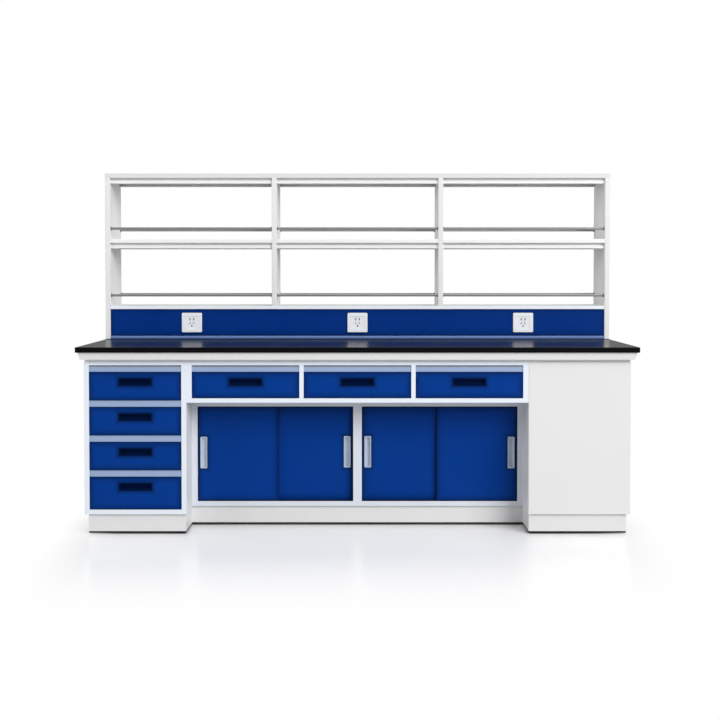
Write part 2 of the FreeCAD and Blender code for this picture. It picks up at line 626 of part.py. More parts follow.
def make_blank_unit():
    """The closed right-hand unit: a wrapped casing round a pan with a back."""
    steel = "case_sheet"
    x = RIGHT_UNIT
    z = ("case_floor_height", CASE_TOP)
    casing = new_body("blank_unit_casing")
    u_shape = ((x[0], FACE), (x[1], FACE), (x[1], CASE_BACK), (f"({x[1]}-{steel})", CASE_BACK),
               (f"({x[1]}-{steel})", f"({FACE}+{steel})"), (f"({x[0]}+{steel})", f"({FACE}+{steel})"),
               (f"({x[0]}+{steel})", CASE_BACK), (x[0], CASE_BACK))
    wrap = pad(casing, draw(casing, "XY", z[0], u_shape), f"{z[1]}-{z[0]}")
    front, upright = number(FACE), runs_along(V(0, 0, 1))

    def outer_corner(edge):
        return upright(edge) and abs(edge.Vertexes[0].Y - front) < number(f"{steel}/2")

    def inner_corner(edge):
        return upright(edge) and abs(edge.Vertexes[0].Y - front - number(steel)) < number(f"{steel}/2")

    bend = round_edges(casing, wrap, "blank_corner", outer_corner)
    round_edges(casing, bend, f"blank_corner-{steel}", inner_corner)
    node(casing, "blank_unit_casing")

    clear = f"({steel}+blank_corner)"
    pan_x, pan_y = inset(x, steel), (f"({FACE}+{clear})", CASE_BACK)
    blank = block("blank_unit_pan_blank", pan_x, pan_y, z)
    hollow = block("blank_unit_pan_hollow", inset(pan_x, steel), inset(pan_y, steel),
                   (f"{z[0]}+{steel}", f"{z[1]}+{steel}"))
    window = block("blank_unit_pan_window", (f"{x[0]}-{steel}", f"{x[1]}+{steel}"),
                   (f"{FACE}-{steel}", f"{CASE_BACK}-rear_fold"),
                   (f"{z[0]}+blank_upstand", f"{z[1]}+{steel}"))
    pan = cut("blank_unit_pan", blank, [hollow, window])
    collar_y = (f"({FACE}+{clear}+collar_inset)", f"({CASE_BACK}-collar_inset)")
    lid = ring("blank_unit_lid", pan_x, pan_y, (f"({CASE_TOP}-{steel})", CASE_TOP), "rear_fold")
    collar = ring("blank_unit_collar", (pan_x[0], f"({pan_x[1]}-collar_inset)"), collar_y,
                  (CASE_TOP, FRAME_UNDER), "collar_thick")
    node(fuse("blank_unit_chassis", [pan, lid, collar]), "blank_unit_chassis")


# ---------------------------------------------------------------- drawers

def hollow_panel(label, x, z, face, thick, centre, long_side, short_side, upright):
    """A double-skinned steel panel with softened front edges and a cut-out for its pull in the front skin."""
    steel = "case_sheet"
    back = f"({face}+{thick})"
    body = new_body(label)
    slab = pad(body, draw(body, "XZ", negative(back), rectangle(x, z)), thick)
    middle = number(f"{face}+{thick}/2")
    round_edges(body, slab, "panel_rounding", lambda edge: edge.BoundBox.YMax < middle)
    hollow = draw(body, "XZ", negative(back), rectangle(inset(x, steel), inset(z, steel)))
    pocket(body, hollow, f"{thick}-{steel}", from_behind=True)
    skin = rectangle(inset(x, f"{steel}/2"), inset(z, f"{steel}/2"))
    pad(body, draw(body, "XZ", negative(back), skin), steel)
    length, height = (f"({side}-pull_rim+2*pull_fit)" for side in (long_side, short_side))
    wide, tall = (height, length) if upright else (length, height)
    hole = rectangle((f"({centre[0]}-{wide}/2)", f"({centre[0]}+{wide}/2)"),
                     (f"({centre[1]}-{tall}/2)", f"({centre[1]}+{tall}/2)"))
    pocket(body, draw(body, "XZ", negative(face), hole), f"2*{steel}")
    node(body, label)


def cup_section(face, middle):
    """Pocket of a drawer pull: a mouth between the rims and an undercut above for the fingertips."""
    mouth = "((pull_height-2*pull_rim)/2)"
    hook = "((pull_height-pull_rim)/2-pull_wall)"
    out, rim, deep = f"({face}-2*pull_flange)", f"({face}+pull_flange)", f"({face}+pull_depth-pull_wall)"
    return [(out, f"({middle}-{mouth})"), (out, f"({middle}+{mouth})"), (rim, f"({middle}+{mouth})"),
            (rim, f"({middle}+{hook})"), (deep, f"({middle}+{hook})"), (deep, f"({middle}-{mouth})")]


def trough_section(face, middle):
    """Pocket of a door pull: a shallow trough with sloping sides."""
    mouth = "((door_pull_width-pull_rim)/2)"
    out, deep = f"({face}-2*pull_flange)", f"({face}+door_pull_depth-pull_wall)"
    rim = f"({face}-pull_flange)"
    return [(out, f"({middle}-{mouth})"), (out, f"({middle}+{mouth})"), (rim, f"({middle}+{mouth})"),
            (deep, f"({middle}+door_pull_floor/2)"), (deep, f"({middle}-door_pull_floor/2)"),
            (rim, f"({middle}-{mouth})")]


def make_pull(label, centre, face, long_side, short_side, depth, upright):
    """A flush pull: rounded flange, cup through the panel, and a pocket for the fingers.

    centre: (x, z). face: the panel's face. upright pulls stand on end.
    """
    body = new_body(label)

    def spans(length, height):
        wide, tall = (height, length) if upright else (length, height)
        return ((f"({centre[0]}-({wide})/2)", f"({centre[0]}+({wide})/2)"),
                (f"({centre[1]}-({tall})/2)", f"({centre[1]}+({tall})/2)"))

    outer = rectangle(*spans(long_side, short_side))
    flange = pad(body, draw(body, "XZ", negative(face), outer), "pull_flange")
    round_edges(body, flange, "pull_corner", runs_along(V(0, 1, 0)))
    inner = spans(f"({long_side}-pull_rim)", f"({short_side}-pull_rim)")
    pad(body, draw(body, "XZ", negative(f"({face}+{depth})"), rectangle(*inner)), depth)
    if upright:
        section = [(v, u) for u, v in trough_section(face, centre[0])]
        sketch = draw(body, "XY", centre[1], section)
    else:
        sketch = draw(body, "YZ", centre[0], cup_section(face, centre[1]))
    pocket(body, sketch, f"({long_side}-2*pull_rim)", both_ways=True)
    return node(body, label)


def inner_runner(wall, outward, axis):
    """The drawer's channel, its web against the box side and its flanges inside the fixed channel."""
    def x(distance):
        return f"({wall}{outward}({distance}))"
    half = "(runner_half-runner_lip-runner_play)"
    steel = "runner_sheet"
    tip = f"({steel}+2*runner_play)"
    return ((x("slide_gap"), f"({axis}-{half})"), (x("slide_gap"), f"({axis}+{half})"),
            (x(tip), f"({axis}+{half})"), (x(tip), f"({axis}+{half}-{steel})"),
            (x(f"slide_gap-{steel}"), f"({axis}+{half}-{steel})"),
            (x(f"slide_gap-{steel}"), f"({axis}-{half}+{steel})"),
            (x(tip), f"({axis}-{half}+{steel})"), (x(tip), f"({axis}-{half})"))


def make_drawer(label, x, z):
    """One drawer in the opening x, z: hollow front, flush pull, and a tray between its runner channels."""
    steel = "case_sheet"
    inner_face = f"({FACE}+front_thick)"
    centre = (f"(({x[0]}+{x[1]})/2)", f"({z[1]}-pull_drop)")
    hollow_panel(f"{label}_front", inset(x, "reveal"), inset(z, "reveal"), FACE, "front_thick", centre,
                 "pull_length", "pull_height", False)
    make_pull(f"{label}_pull", centre, FACE, "pull_length", "pull_height", "pull_depth", False)

    tray_x = inset(x, "slide_gap")
    tray_y = (inner_face, f"({inner_face}+drawer_length)")
    floor, rim = f"({z[0]}+box_lift)", f"({z[1]}-box_headroom)"
    tray = new_body(f"{label}_tray")
    pad(tray, draw(tray, "XY", floor, rectangle(tray_x, tray_y)), f"{rim}-{floor}")
    pocket(tray, draw(tray, "XY", rim, rectangle(inset(tray_x, steel), inset(tray_y, steel))),
           f"{rim}-{floor}-{steel}")
    axis = f"({floor}+runner_rise)"
    channels = [extrusion(f"{label}_channel_{side}", "XZ", negative(tray_y[1]), "drawer_length-runner_backset",
                          inner_runner(wall, outward, axis))
                for side, wall, outward in (("left", x[0], "+"), ("right", x[1], "-"))]
    node(group(f"{label}_box", [tray, *channels]), f"{label}_box")


def make_runner_rails(label, openings):
    """The fixed channels on both sides of each drawer opening."""
    rails = []
    start = f"({FACE}+front_thick+runner_backset)"
    for count, (x, z) in enumerate(openings, start=1):
        axis = f"({z[0]}+box_lift+runner_rise)"
        for side, wall, outward in (("left", x[0], "+"), ("right", x[1], "-")):
            steel, half, lip = "runner_sheet", "runner_half", "runner_lip"
            reach = "runner_reach"

            def at(distance, height):
                return f"({wall}{outward}({distance}))", f"({axis}+({height}))"
            corners = (at("0", f"-{half}"), at(reach, f"-{half}"), at(reach, f"{lip}-{half}"),
                       at(f"{reach}-{steel}", f"{lip}-{half}"), at(f"{reach}-{steel}", f"{steel}-{half}"),
                       at(steel, f"{steel}-{half}"), at(steel, f"{half}-{steel}"),
                       at(f"{reach}-{steel}", f"{half}-{steel}"), at(f"{reach}-{steel}", f"{half}-{lip}"),
                       at(reach, f"{half}-{lip}"), at(reach, half), at("0", half))
            rails.append(extrusion(f"{label}_{count}_{side}", "XZ", negative(f"({start}+drawer_length)"),
                                   "drawer_length", corners))
    node(group(label, rails), label)


# ---------------------------------------------------------------- sliding doors

DOOR_PLAY_WIDTH = f"({UNIT_INNER}-apron_stile-mullion_stile-2*door_end_play)"
DOOR_WIDTH = f"(({DOOR_PLAY_WIDTH}+door_overlap)/2)"
FRONT_TRACK = f"({CABINET_FACE}+door_setback)"
REAR_TRACK = f"({FRONT_TRACK}+door_thick+door_gap)"
TRACK_TOP = "(case_floor_height+case_sheet+track_floor)"


def make_door(label, left, outer):
    """A hollow sliding door; outer doors run in the front groove and inner ones in the rear groove."""
    bay = cabinet_bay(left)
    at_left = left == outer
    if at_left:
        x = (f"({bay[0]}+door_end_play)", f"({bay[0]}+door_end_play+{DOOR_WIDTH})")
        pull_x = f"({x[0]}+door_pull_edge+door_pull_width/2)"
    else:
        x = (f"({bay[1]}-door_end_play-{DOOR_WIDTH})", f"({bay[1]}-door_end_play)")
        pull_x = f"({x[1]}-door_pull_edge-door_pull_width/2)"
    face = FRONT_TRACK if outer else REAR_TRACK
    z = (f"({TRACK_TOP}+door_rest)", f"({DOOR_OPENING[1]}+door_top_entry)")
    centre = (pull_x, "door_pull_height")
    hollow_panel(f"{label}_panel", x, z, face, "door_thick", centre, "door_pull_length", "door_pull_width", True)
    make_pull(f"{label}_pull", centre, face, "door_pull_length", "door_pull_width", "door_pull_depth", True)


def make_door_tracks():
    """Two-groove tracks under and over each pair of doors."""
    first = f"({FRONT_TRACK}-track_play-track_rib)"
    grooves = [(f"({face}-track_play)", f"({face}+door_thick+track_play)") for face in (FRONT_TRACK, REAR_TRACK)]
    last = f"({grooves[1][1]}+track_rib)"
    floor = "(case_floor_height+case_sheet)"
    rib_top = f"({TRACK_TOP}+track_rib_height)"
    ceiling = HEAD_CHANNEL
    plate = f"({ceiling}-track_top_plate)"
    rib_end = f"({plate}-track_top_rib)"

    def comb(base, groove_floor, rib):
        path = [(first, base), (first, rib)]
        for low, high in grooves:
            path += [(low, rib), (low, groove_floor), (high, groove_floor), (high, rib)]
        return path + [(last, rib), (last, base)]

    tracks = []
    for left in (True, False):
        bay = cabinet_bay(left)
        side = "left" if left else "right"
        for name, section in (("bottom", comb(floor, TRACK_TOP, rib_top)), ("top", comb(ceiling, plate, rib_end))):
            tracks.append(extrusion(f"{name}_track_{side}", "YZ", bay[0], f"{bay[1]}-{bay[0]}", section))
    node(group("door_tracks", tracks), "door_tracks")


# ---------------------------------------------------------------- plinths and feet

def make_plinths():
    """Set-back kick plates: a U round each outer unit and a straight one between them."""
    z = ("plinth_gap", "case_floor_height")
    tall = f"{z[1]}-{z[0]}"
    steel = "plinth_sheet"

    def u_panel(name, x):
        face, back = f"({FACE}+plinth_setback)", CASE_BACK
        inner = (f"({x[0]}+{steel})", f"({x[1]}-{steel})")
        corners = ((x[0], face), (x[1], face), (x[1], back), (inner[1], back), (inner[1], f"({face}+{steel})"),
                   (inner[0], f"({face}+{steel})"), (inner[0], back), (x[0], back))
        return extrusion(name, "XY", z[0], tall, corners)

    left = (f"({LEFT_UNIT[0]}+plinth_outer_inset)", f"({LEFT_UNIT[1]}-plinth_inner_inset)")
    right = mirrored(left)
    between = (left[1], right[0])
    face = f"({CABINET_FACE}+plinth_setback)"
    centre = block("centre_plinth", between, (face, f"({face}+{steel})"), z)
    node(group("plinth_panels", [u_panel("left_plinth", left), centre, u_panel("right_plinth", right)]),
         "plinth_panels")


PAD_FACETS = 10
CUP_FACETS = 10
NUT_SIDES = 6


def prism(name, sides, radius, z):
    """An upright bar of regular section on the Z axis."""
    bar = doc.addObject("Part::Prism", name)
    bar.Polygon = sides
    bar.setExpression("Circumradius", bind(radius))
    bar.setExpression("Height", bind(f"({z[1]})-({z[0]})"))
    bar.setExpression("Placement.Base.z", bind(z[0]))
    return bar


def make_feet():
    """Four levelling feet under every unit: a pad, a threaded stud, and a lock nut against the case."""
    foot = fuse("levelling_foot", [
        prism("foot_pad_disc", PAD_FACETS, "foot_radius", ("0", "foot_pad")),
        prism("foot_stud_bar", NUT_SIDES, "foot_stud", ("0", "case_floor_height")),
        prism("foot_lock_nut", NUT_SIDES, "foot_nut_radius",
              ("case_floor_height-foot_nut", "case_floor_height"))])
    units = ((LEFT_UNIT, FACE), (cabinet_span(True), CABINET_FACE), (cabinet_span(False), CABINET_FACE),
             (RIGHT_UNIT, FACE))
    feet = []
    for x, face in units:
        for across in inset(x, "foot_inset"):
            for along in inset((face, CASE_BACK), "foot_inset"):
                copy = doc.addObject("App::Link", f"foot_{len(feet) + 1}")
                copy.LinkedObject = foot
                copy.setExpression("Placement.Base.x", bind(across))
                copy.setExpression("Placement.Base.y", bind(along))
                feet.append(copy)
    node(group("levelling_feet", feet), "levelling_feet")


# ---------------------------------------------------------------- reagent rack

def bay_span(place):
    """The x span of a rack bay, counted from the left."""
    start = f"(-worktop_length/2+post_thick+{place}*({BAY_WIDTH}+post_thick))"
    return start, f"({start}+{BAY_WIDTH})"


def make_uprights():
    """Four flat tubes, open at their ends: two on the worktop, two on the raceway."""
    y = (RACK_FACE, REAR_EDGE)
    names = ("rack_end_left", "rack_post_left", "rack_post_right", "rack_end_right")
    for place, label in enumerate(names):
        start = f"(-worktop_length/2+{place}*({BAY_WIDTH}+post_thick))"
        x = (start, f"({start}+post_thick)")
        foot = "worktop_height" if "end" in label else RACEWAY_TOP
        body = new_body(label)
        solid = pad(body, draw(body, "XY", foot, rectangle(x, y)), f"{CAP_UNDER}-{foot}")
        dress_edges(body, solid, "Chamfer", "post_rounding", runs_along(V(0, 0, 1)))
        bore = draw(body, "XY", CAP_UNDER, rectangle(inset(x, "post_sheet"), inset(y, "post_sheet")))
        pocket(body, bore, f"{CAP_UNDER}-{foot}")
        node(body, label)


def make_boards():
    y = (RACK_FACE, REAR_EDGE)
    along_x = runs_along(V(1, 0, 0))
    cap = new_body("rack_top_board")
    slab = pad(cap, draw(cap, "XY", CAP_UNDER, rectangle(LENGTH, y)), "cap_thick")
    top = number(RACK_TOP)
    dress_edges(cap, slab, "Chamfer", "cap_rounding",
                lambda edge: edge.BoundBox.ZMin > top - number("cap_thick") / 2)
    node(cap, "rack_top_board")
    boards = []
    for place in range(3):
        body = new_body(f"rack_board_{place + 1}")
        under = f"({BOARD_TOP}-board_thick)"
        slab = pad(body, draw(body, "XY", under, rectangle(bay_span(place), y)), "board_thick")
        dress_edges(body, slab, "Chamfer", "cap_rounding", along_x)
        boards.append(body)
    node(group("rack_mid_boards", boards), "rack_mid_boards")


def make_beams():
    """Folded beams under the cap and the middle boards, front and rear, with a groove below the board."""
    steel = "beam_sheet"
    beams = []
    for level, under in (("upper", CAP_UNDER), ("lower", f"({BOARD_TOP}-board_thick)")):
        groove = f"({under}-beam_groove)"
        bottom = f"({groove}-beam_strip)"
        for side in ("front", "rear"):
            edge, inward = (RACK_FACE, "+") if side == "front" else (REAR_EDGE, "-")

            def y(distance):
                return f"({edge}{inward}(beam_inset+{distance}))"
            corners = ((y("0"), bottom), (y("0"), groove), (y("beam_groove_depth"), groove),
                       (y("beam_groove_depth"), under), (y("beam_groove_depth+beam_flange"), under),
                       (y("beam_groove_depth+beam_flange"), f"({under}-{steel})"),
                       (y(f"beam_groove_depth+{steel}"), f"({under}-{steel})"),
                       (y(f"beam_groove_depth+{steel}"), f"({groove}-{steel})"),
                       (y(steel), f"({groove}-{steel})"), (y(steel), f"({bottom}+{steel})"),
                       (y("beam_flange"), f"({bottom}+{steel})"), (y("beam_flange"), bottom))
            for place in range(3):
                start, end = bay_span(place)
                beams.append(extrusion(f"{level}_{side}_beam_{place + 1}", "YZ", start, f"{end}-{start}", corners))
    node(group("rack_beams", beams), "rack_beams")


def rod(name, radius, x, y, z, sides=0):
    """A bar along X between the expressions x = (low, high): round, or faceted if sides are given."""
    bar = doc.addObject("Part::Prism" if sides else "Part::Cylinder", name)
    bar.Placement = FreeCAD.Placement(V(0, 0, 0), FreeCAD.Rotation(V(0, 1, 0), 90))
    bar.setExpression("Circumradius" if sides else "Radius", bind(radius))
    if sides:
        bar.Polygon = sides
    bar.setExpression("Height", bind(f"{x[1]}-{x[0]}"))
    for axis, text in zip("xyz", (x[0], y, z)):
        bar.setExpression(f"Placement.Base.{axis}", bind(text))
    return bar


def make_guard_rails():
    """Round rails in front of and behind each shelf, held in cups on the uprights."""
    rails, cups = [], []
    for level, shelf in (("upper", BOARD_TOP), ("lower", RACEWAY_TOP)):
        z = f"({shelf}+guard_rise)"
        for side, y in (("front", f"({RACK_FACE}+guard_inset)"), ("rear", f"({REAR_EDGE}-guard_inset)")):
            for place in range(3):
                start, end = bay_span(place)
                name = f"{level}_{side}_{place + 1}"
                between = (f"({start}+cup_thick)", f"({end}-cup_thick)")
                rails.append(rod(f"rail_{name}", "guard_radius", between, y, z))
                cups.append(rod(f"cup_{name}_left", "cup_radius", (start, between[0]), y, z, CUP_FACETS))
                cups.append(rod(f"cup_{name}_right", "cup_radius", (between[1], end), y, z, CUP_FACETS))
    node(group("guard_rails", rails), "guard_rails")
    node(group("guard_rail_cups", cups), "guard_rail_cups")


# ---------------------------------------------------------------- socket raceway

RACEWAY_X = ("(-worktop_length/2+post_thick)", "(worktop_length/2-post_thick)")
PANEL_Z = (f"(worktop_height+raceway_bottom_lip+panel_fit)", f"({RACEWAY_TOP}-raceway_top_lip-panel_fit)")
PANEL_FACE = f"({RACK_FACE}+panel_recess)"
PANEL_BACK = f"({PANEL_FACE}+panel_thick)"
SOCKET_Z = f"(({PANEL_Z[0]}+{PANEL_Z[1]})/2)"
SOCKET_PITCH = f"({BAY_WIDTH}+post_thick-socket_shift)"
SOCKETS = (("left", negative(SOCKET_PITCH)), ("centre", "0"), ("right", SOCKET_PITCH))


def square(x, z, side):
    return ((f"({x}-{side}/2)", f"({x}+{side}/2)"), (f"({z}-{side}/2)", f"({z}+{side}/2)"))


def make_raceway():
    """A folded channel with an open front, the coloured panel between its lips."""
    steel = "case_sheet"
    y0, y1, z0, z1 = RACK_FACE, REAR_EDGE, "worktop_height", RACEWAY_TOP
    upper, lower = f"({z1}-raceway_top_lip)", f"({z0}+raceway_bottom_lip)"
    back = f"({y0}+raceway_return)"
    section = ((y0, z0), (y1, z0), (y1, z1), (y0, z1), (y0, upper), (back, upper), (back, f"({upper}+{steel})"),
               (f"({y0}+{steel})", f"({upper}+{steel})"), (f"({y0}+{steel})", f"({z1}-{steel})"),
               (f"({y1}-{steel})", f"({z1}-{steel})"), (f"({y1}-{steel})", f"({z0}+{steel})"),
               (f"({y0}+{steel})", f"({z0}+{steel})"), (f"({y0}+{steel})", f"({lower}-{steel})"),
               (back, f"({lower}-{steel})"), (back, lower), (y0, lower))
    node(extrusion("raceway_housing", "YZ", RACEWAY_X[0], f"{RACEWAY_X[1]}-{RACEWAY_X[0]}", section),
         "raceway_housing")
    windows = [rectangle(*square(x, SOCKET_Z, "back_box_window")) for _, x in SOCKETS]
    outline = rectangle(inset(RACEWAY_X, "panel_fit"), PANEL_Z)
    node(extrusion("raceway_panel", "XZ", negative(PANEL_BACK), "panel_thick", outline, *windows),
         "raceway_panel")


def pin_slot(x, z, lean=0):
    """A pin slot, upright or leaning by a quarter of its length to the right (1) or left (-1)."""
    half_wide, half_long, shift = "slot_width/2", "slot_length/2", f"{lean}*slot_length/4"
    return ((f"({x}-{half_wide}-({shift}))", f"({z}-{half_long})"),
            (f"({x}+{half_wide}-({shift}))", f"({z}-{half_long})"),
            (f"({x}+{half_wide}+({shift}))", f"({z}+{half_long})"),
            (f"({x}-{half_wide}+({shift}))", f"({z}+{half_long})"))


def make_sockets():
    """Socket plates with a raised rim and five pin slots, and the boxes behind them."""
    plates, boxes = [], []
    for side, x in SOCKETS:
        body = new_body(f"socket_plate_{side}")
        wide = (f"({x}-socket_width/2)", f"({x}+socket_width/2)")
        tall = (f"({SOCKET_Z}-socket_height/2)", f"({SOCKET_Z}+socket_height/2)")
        front = f"({PANEL_FACE}-socket_thick)"
        plate = pad(body, draw(body, "XZ", negative(PANEL_FACE), rectangle(wide, tall)), "socket_thick")
        corners = round_edges(body, plate, "socket_corner", runs_along(V(0, 1, 0)))
        nose = number(front)
        dress_edges(body, corners, "Chamfer", "socket_edge",
                    lambda edge: edge.BoundBox.YMax < nose + number("socket_thick") / 2)
        dish = draw(body, "XZ", negative(front), rectangle(inset(wide, "socket_rim"), inset(tall, "socket_rim")))
        pocket(body, dish, "socket_dish")
        pair = f"({SOCKET_Z}-slot_lower)"
        sides = [f"({x}{sign}slot_spread)" for sign in "-+"]
        slots = [pin_slot(place, f"({SOCKET_Z}+slot_upper)") for place in sides]
        slots += [pin_slot(place, pair, lean) for place, lean in zip(sides, (1, -1))]
        slots.append(pin_slot(x, f"({pair}-slot_earth)"))
        pocket(body, draw(body, "XZ", negative(f"({front}+socket_dish)"), *slots), "slot_depth")
        plates.append(body)
        outside, height = square(x, SOCKET_Z, "back_box")
        y = (PANEL_BACK, f"({PANEL_BACK}+back_box_depth)")
        hollow = block(f"back_box_{side}_hollow", inset(outside, "back_box_wall"),
                       (f"{y[0]}-back_box_wall", f"{y[1]}-back_box_wall"), inset(height, "back_box_wall"))
        boxes.append(cut(f"back_box_{side}", block(f"back_box_{side}_blank", outside, y, height), [hollow]))
    node(group("socket_plates", plates), "socket_plates")
    node(group("socket_back_boxes", boxes), "socket_back_boxes")


# ---------------------------------------------------------------- the whole bench

def check_and_write():
    doc.recompute()
    for made in doc.Objects:
        if "Invalid" in made.State or "Error" in made.State:
            raise RuntimeError(f"{made.Label} did not build: {made.State}")
    os.makedirs("parts", exist_ok=True)
    for made in NODES:
        shape = made.Shape
        if shape.isNull() or not shape.isValid() or not shape.Solids:
            raise RuntimeError(f"{made.Label} has no valid solid")
        shape.exportStep(f"parts/{made.Label}.step")
        print(f"{made.Label}: {len(shape.Solids)} solid(s), {shape.Volume / 1000:.1f} cm3")


pedestal_openings = [(PEDESTAL_BAY, pedestal_opening(row)) for row in range(PEDESTAL_DRAWERS)]
apron_openings = [(apron_bay(place), (APRON_SILL, HEAD)) for place in range(APRON_DRAWERS)]

make_worktop()
make_support_rails()
make_crossbars()
make_pedestal()
make_apron()
make_recess_strips()
for on_left in (True, False):
    make_cabinet(on_left)
make_cabinet_shelves()
make_blank_unit()
make_plinths()
make_feet()
make_door_tracks()
for drawer, (wide, tall) in enumerate(pedestal_openings, start=1):
    make_drawer(f"pedestal_drawer_{drawer}", wide, tall)
make_runner_rails("pedestal_runner_rails", pedestal_openings)
for side, (wide, tall) in zip(("left", "centre", "right"), apron_openings):
    make_drawer(f"apron_drawer_{side}", wide, tall)
make_runner_rails("apron_runner_rails", apron_openings)
for on_left, side in ((True, "left"), (False, "right")):
    for is_outer, place in ((True, "outer"), (False, "inner")):
        make_door(f"door_{side}_{place}", on_left, is_outer)
make_uprights()
make_boards()
make_beams()
make_guard_rails()
make_raceway()
make_sockets()
check_and_write()
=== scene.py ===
"""Looks for the laboratory bench: studio, materials, and the small fittings that the CAD frame leaves out.

Everything is in metres in the CAD frame: X along the bench, -Y its front, Z up, the origin on the floor.
"""

import math

import bmesh
import bpy
from mathutils import Matrix, Vector


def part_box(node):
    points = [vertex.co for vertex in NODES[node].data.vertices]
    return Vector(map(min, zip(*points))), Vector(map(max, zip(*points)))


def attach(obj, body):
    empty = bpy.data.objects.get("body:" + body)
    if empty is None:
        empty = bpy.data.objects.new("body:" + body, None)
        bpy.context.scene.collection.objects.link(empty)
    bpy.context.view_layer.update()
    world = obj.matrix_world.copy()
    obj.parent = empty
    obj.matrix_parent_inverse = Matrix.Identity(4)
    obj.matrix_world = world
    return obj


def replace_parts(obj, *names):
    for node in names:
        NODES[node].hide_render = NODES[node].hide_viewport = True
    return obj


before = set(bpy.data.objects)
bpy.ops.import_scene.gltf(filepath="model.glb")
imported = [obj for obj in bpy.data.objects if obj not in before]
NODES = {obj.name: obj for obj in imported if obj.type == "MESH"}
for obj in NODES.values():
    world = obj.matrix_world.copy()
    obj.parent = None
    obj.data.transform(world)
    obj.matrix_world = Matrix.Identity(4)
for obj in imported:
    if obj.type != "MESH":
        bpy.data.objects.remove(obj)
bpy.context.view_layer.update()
BOX = {name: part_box(name) for name in NODES}
MM = 0.001
PEDESTAL_DRAWERS = [f"pedestal_drawer_{row}" for row in (1, 2, 3, 4)]
APRON_DRAWERS = [f"apron_drawer_{side}" for side in ("left", "centre", "right")]
DRAWERS = PEDESTAL_DRAWERS + APRON_DRAWERS
DOORS = [f"door_{side}_{place}" for side in ("left", "right") for place in ("outer", "inner")]

# Heights and depths in the frame (metres).
FACE = BOX["blank_unit_casing"][0][1]
CASE_BACK = BOX["apron_case"][1][1]
CASE_FLOOR, CASE_TOP = BOX["plinth_panels"][1][2], BOX["apron_case"][1][2]
FRAME_UNDER = BOX["support_rails"][0][2]
DECK = BOX["worktop"][1][2]
RACK_FACE, REAR = BOX["rack_top_board"][0][1], BOX["rack_top_board"][1][1]
CABINET_FACE = BOX["cabinet_left"][0][1]
CABINET_SILL, CABINET_HEAD = 23 * MM, 38.5 * MM   # the cabinets' frame below and above the doors
DOOR_IN_TRACK = (9 * MM, 8 * MM)                  # how far a door stands in its lower and its upper track
TRAY_INSET = 11.5 * MM                            # from the edge of a drawer's front to its tray's side
HALF_PLATE = 50 * MM                              # half the width of a socket's plate
SOCKET_REACH = BOX["socket_plates"][1][0] - HALF_PLATE
SOCKETS = (-SOCKET_REACH, 0.0, SOCKET_REACH)


# ---------------------------------------------------------------- node materials

def linear(red, green, blue):
    """A colour given as 8-bit sRGB values, in the renderer's linear space."""
    def channel(value):
        share = value / 255
        return share / 12.92 if share <= 0.04045 else ((share + 0.055) / 1.055) ** 2.4
    return channel(red), channel(green), channel(blue), 1.0


PAINTED_SHADE_RIM_REACH, PAINTED_SHADE_PULL_REACH = 50 * MM, 26 * MM     # how far the painted shade goes from a panel's rim and from its pull
SATIN = 0.38                                 # roughness of the white paint


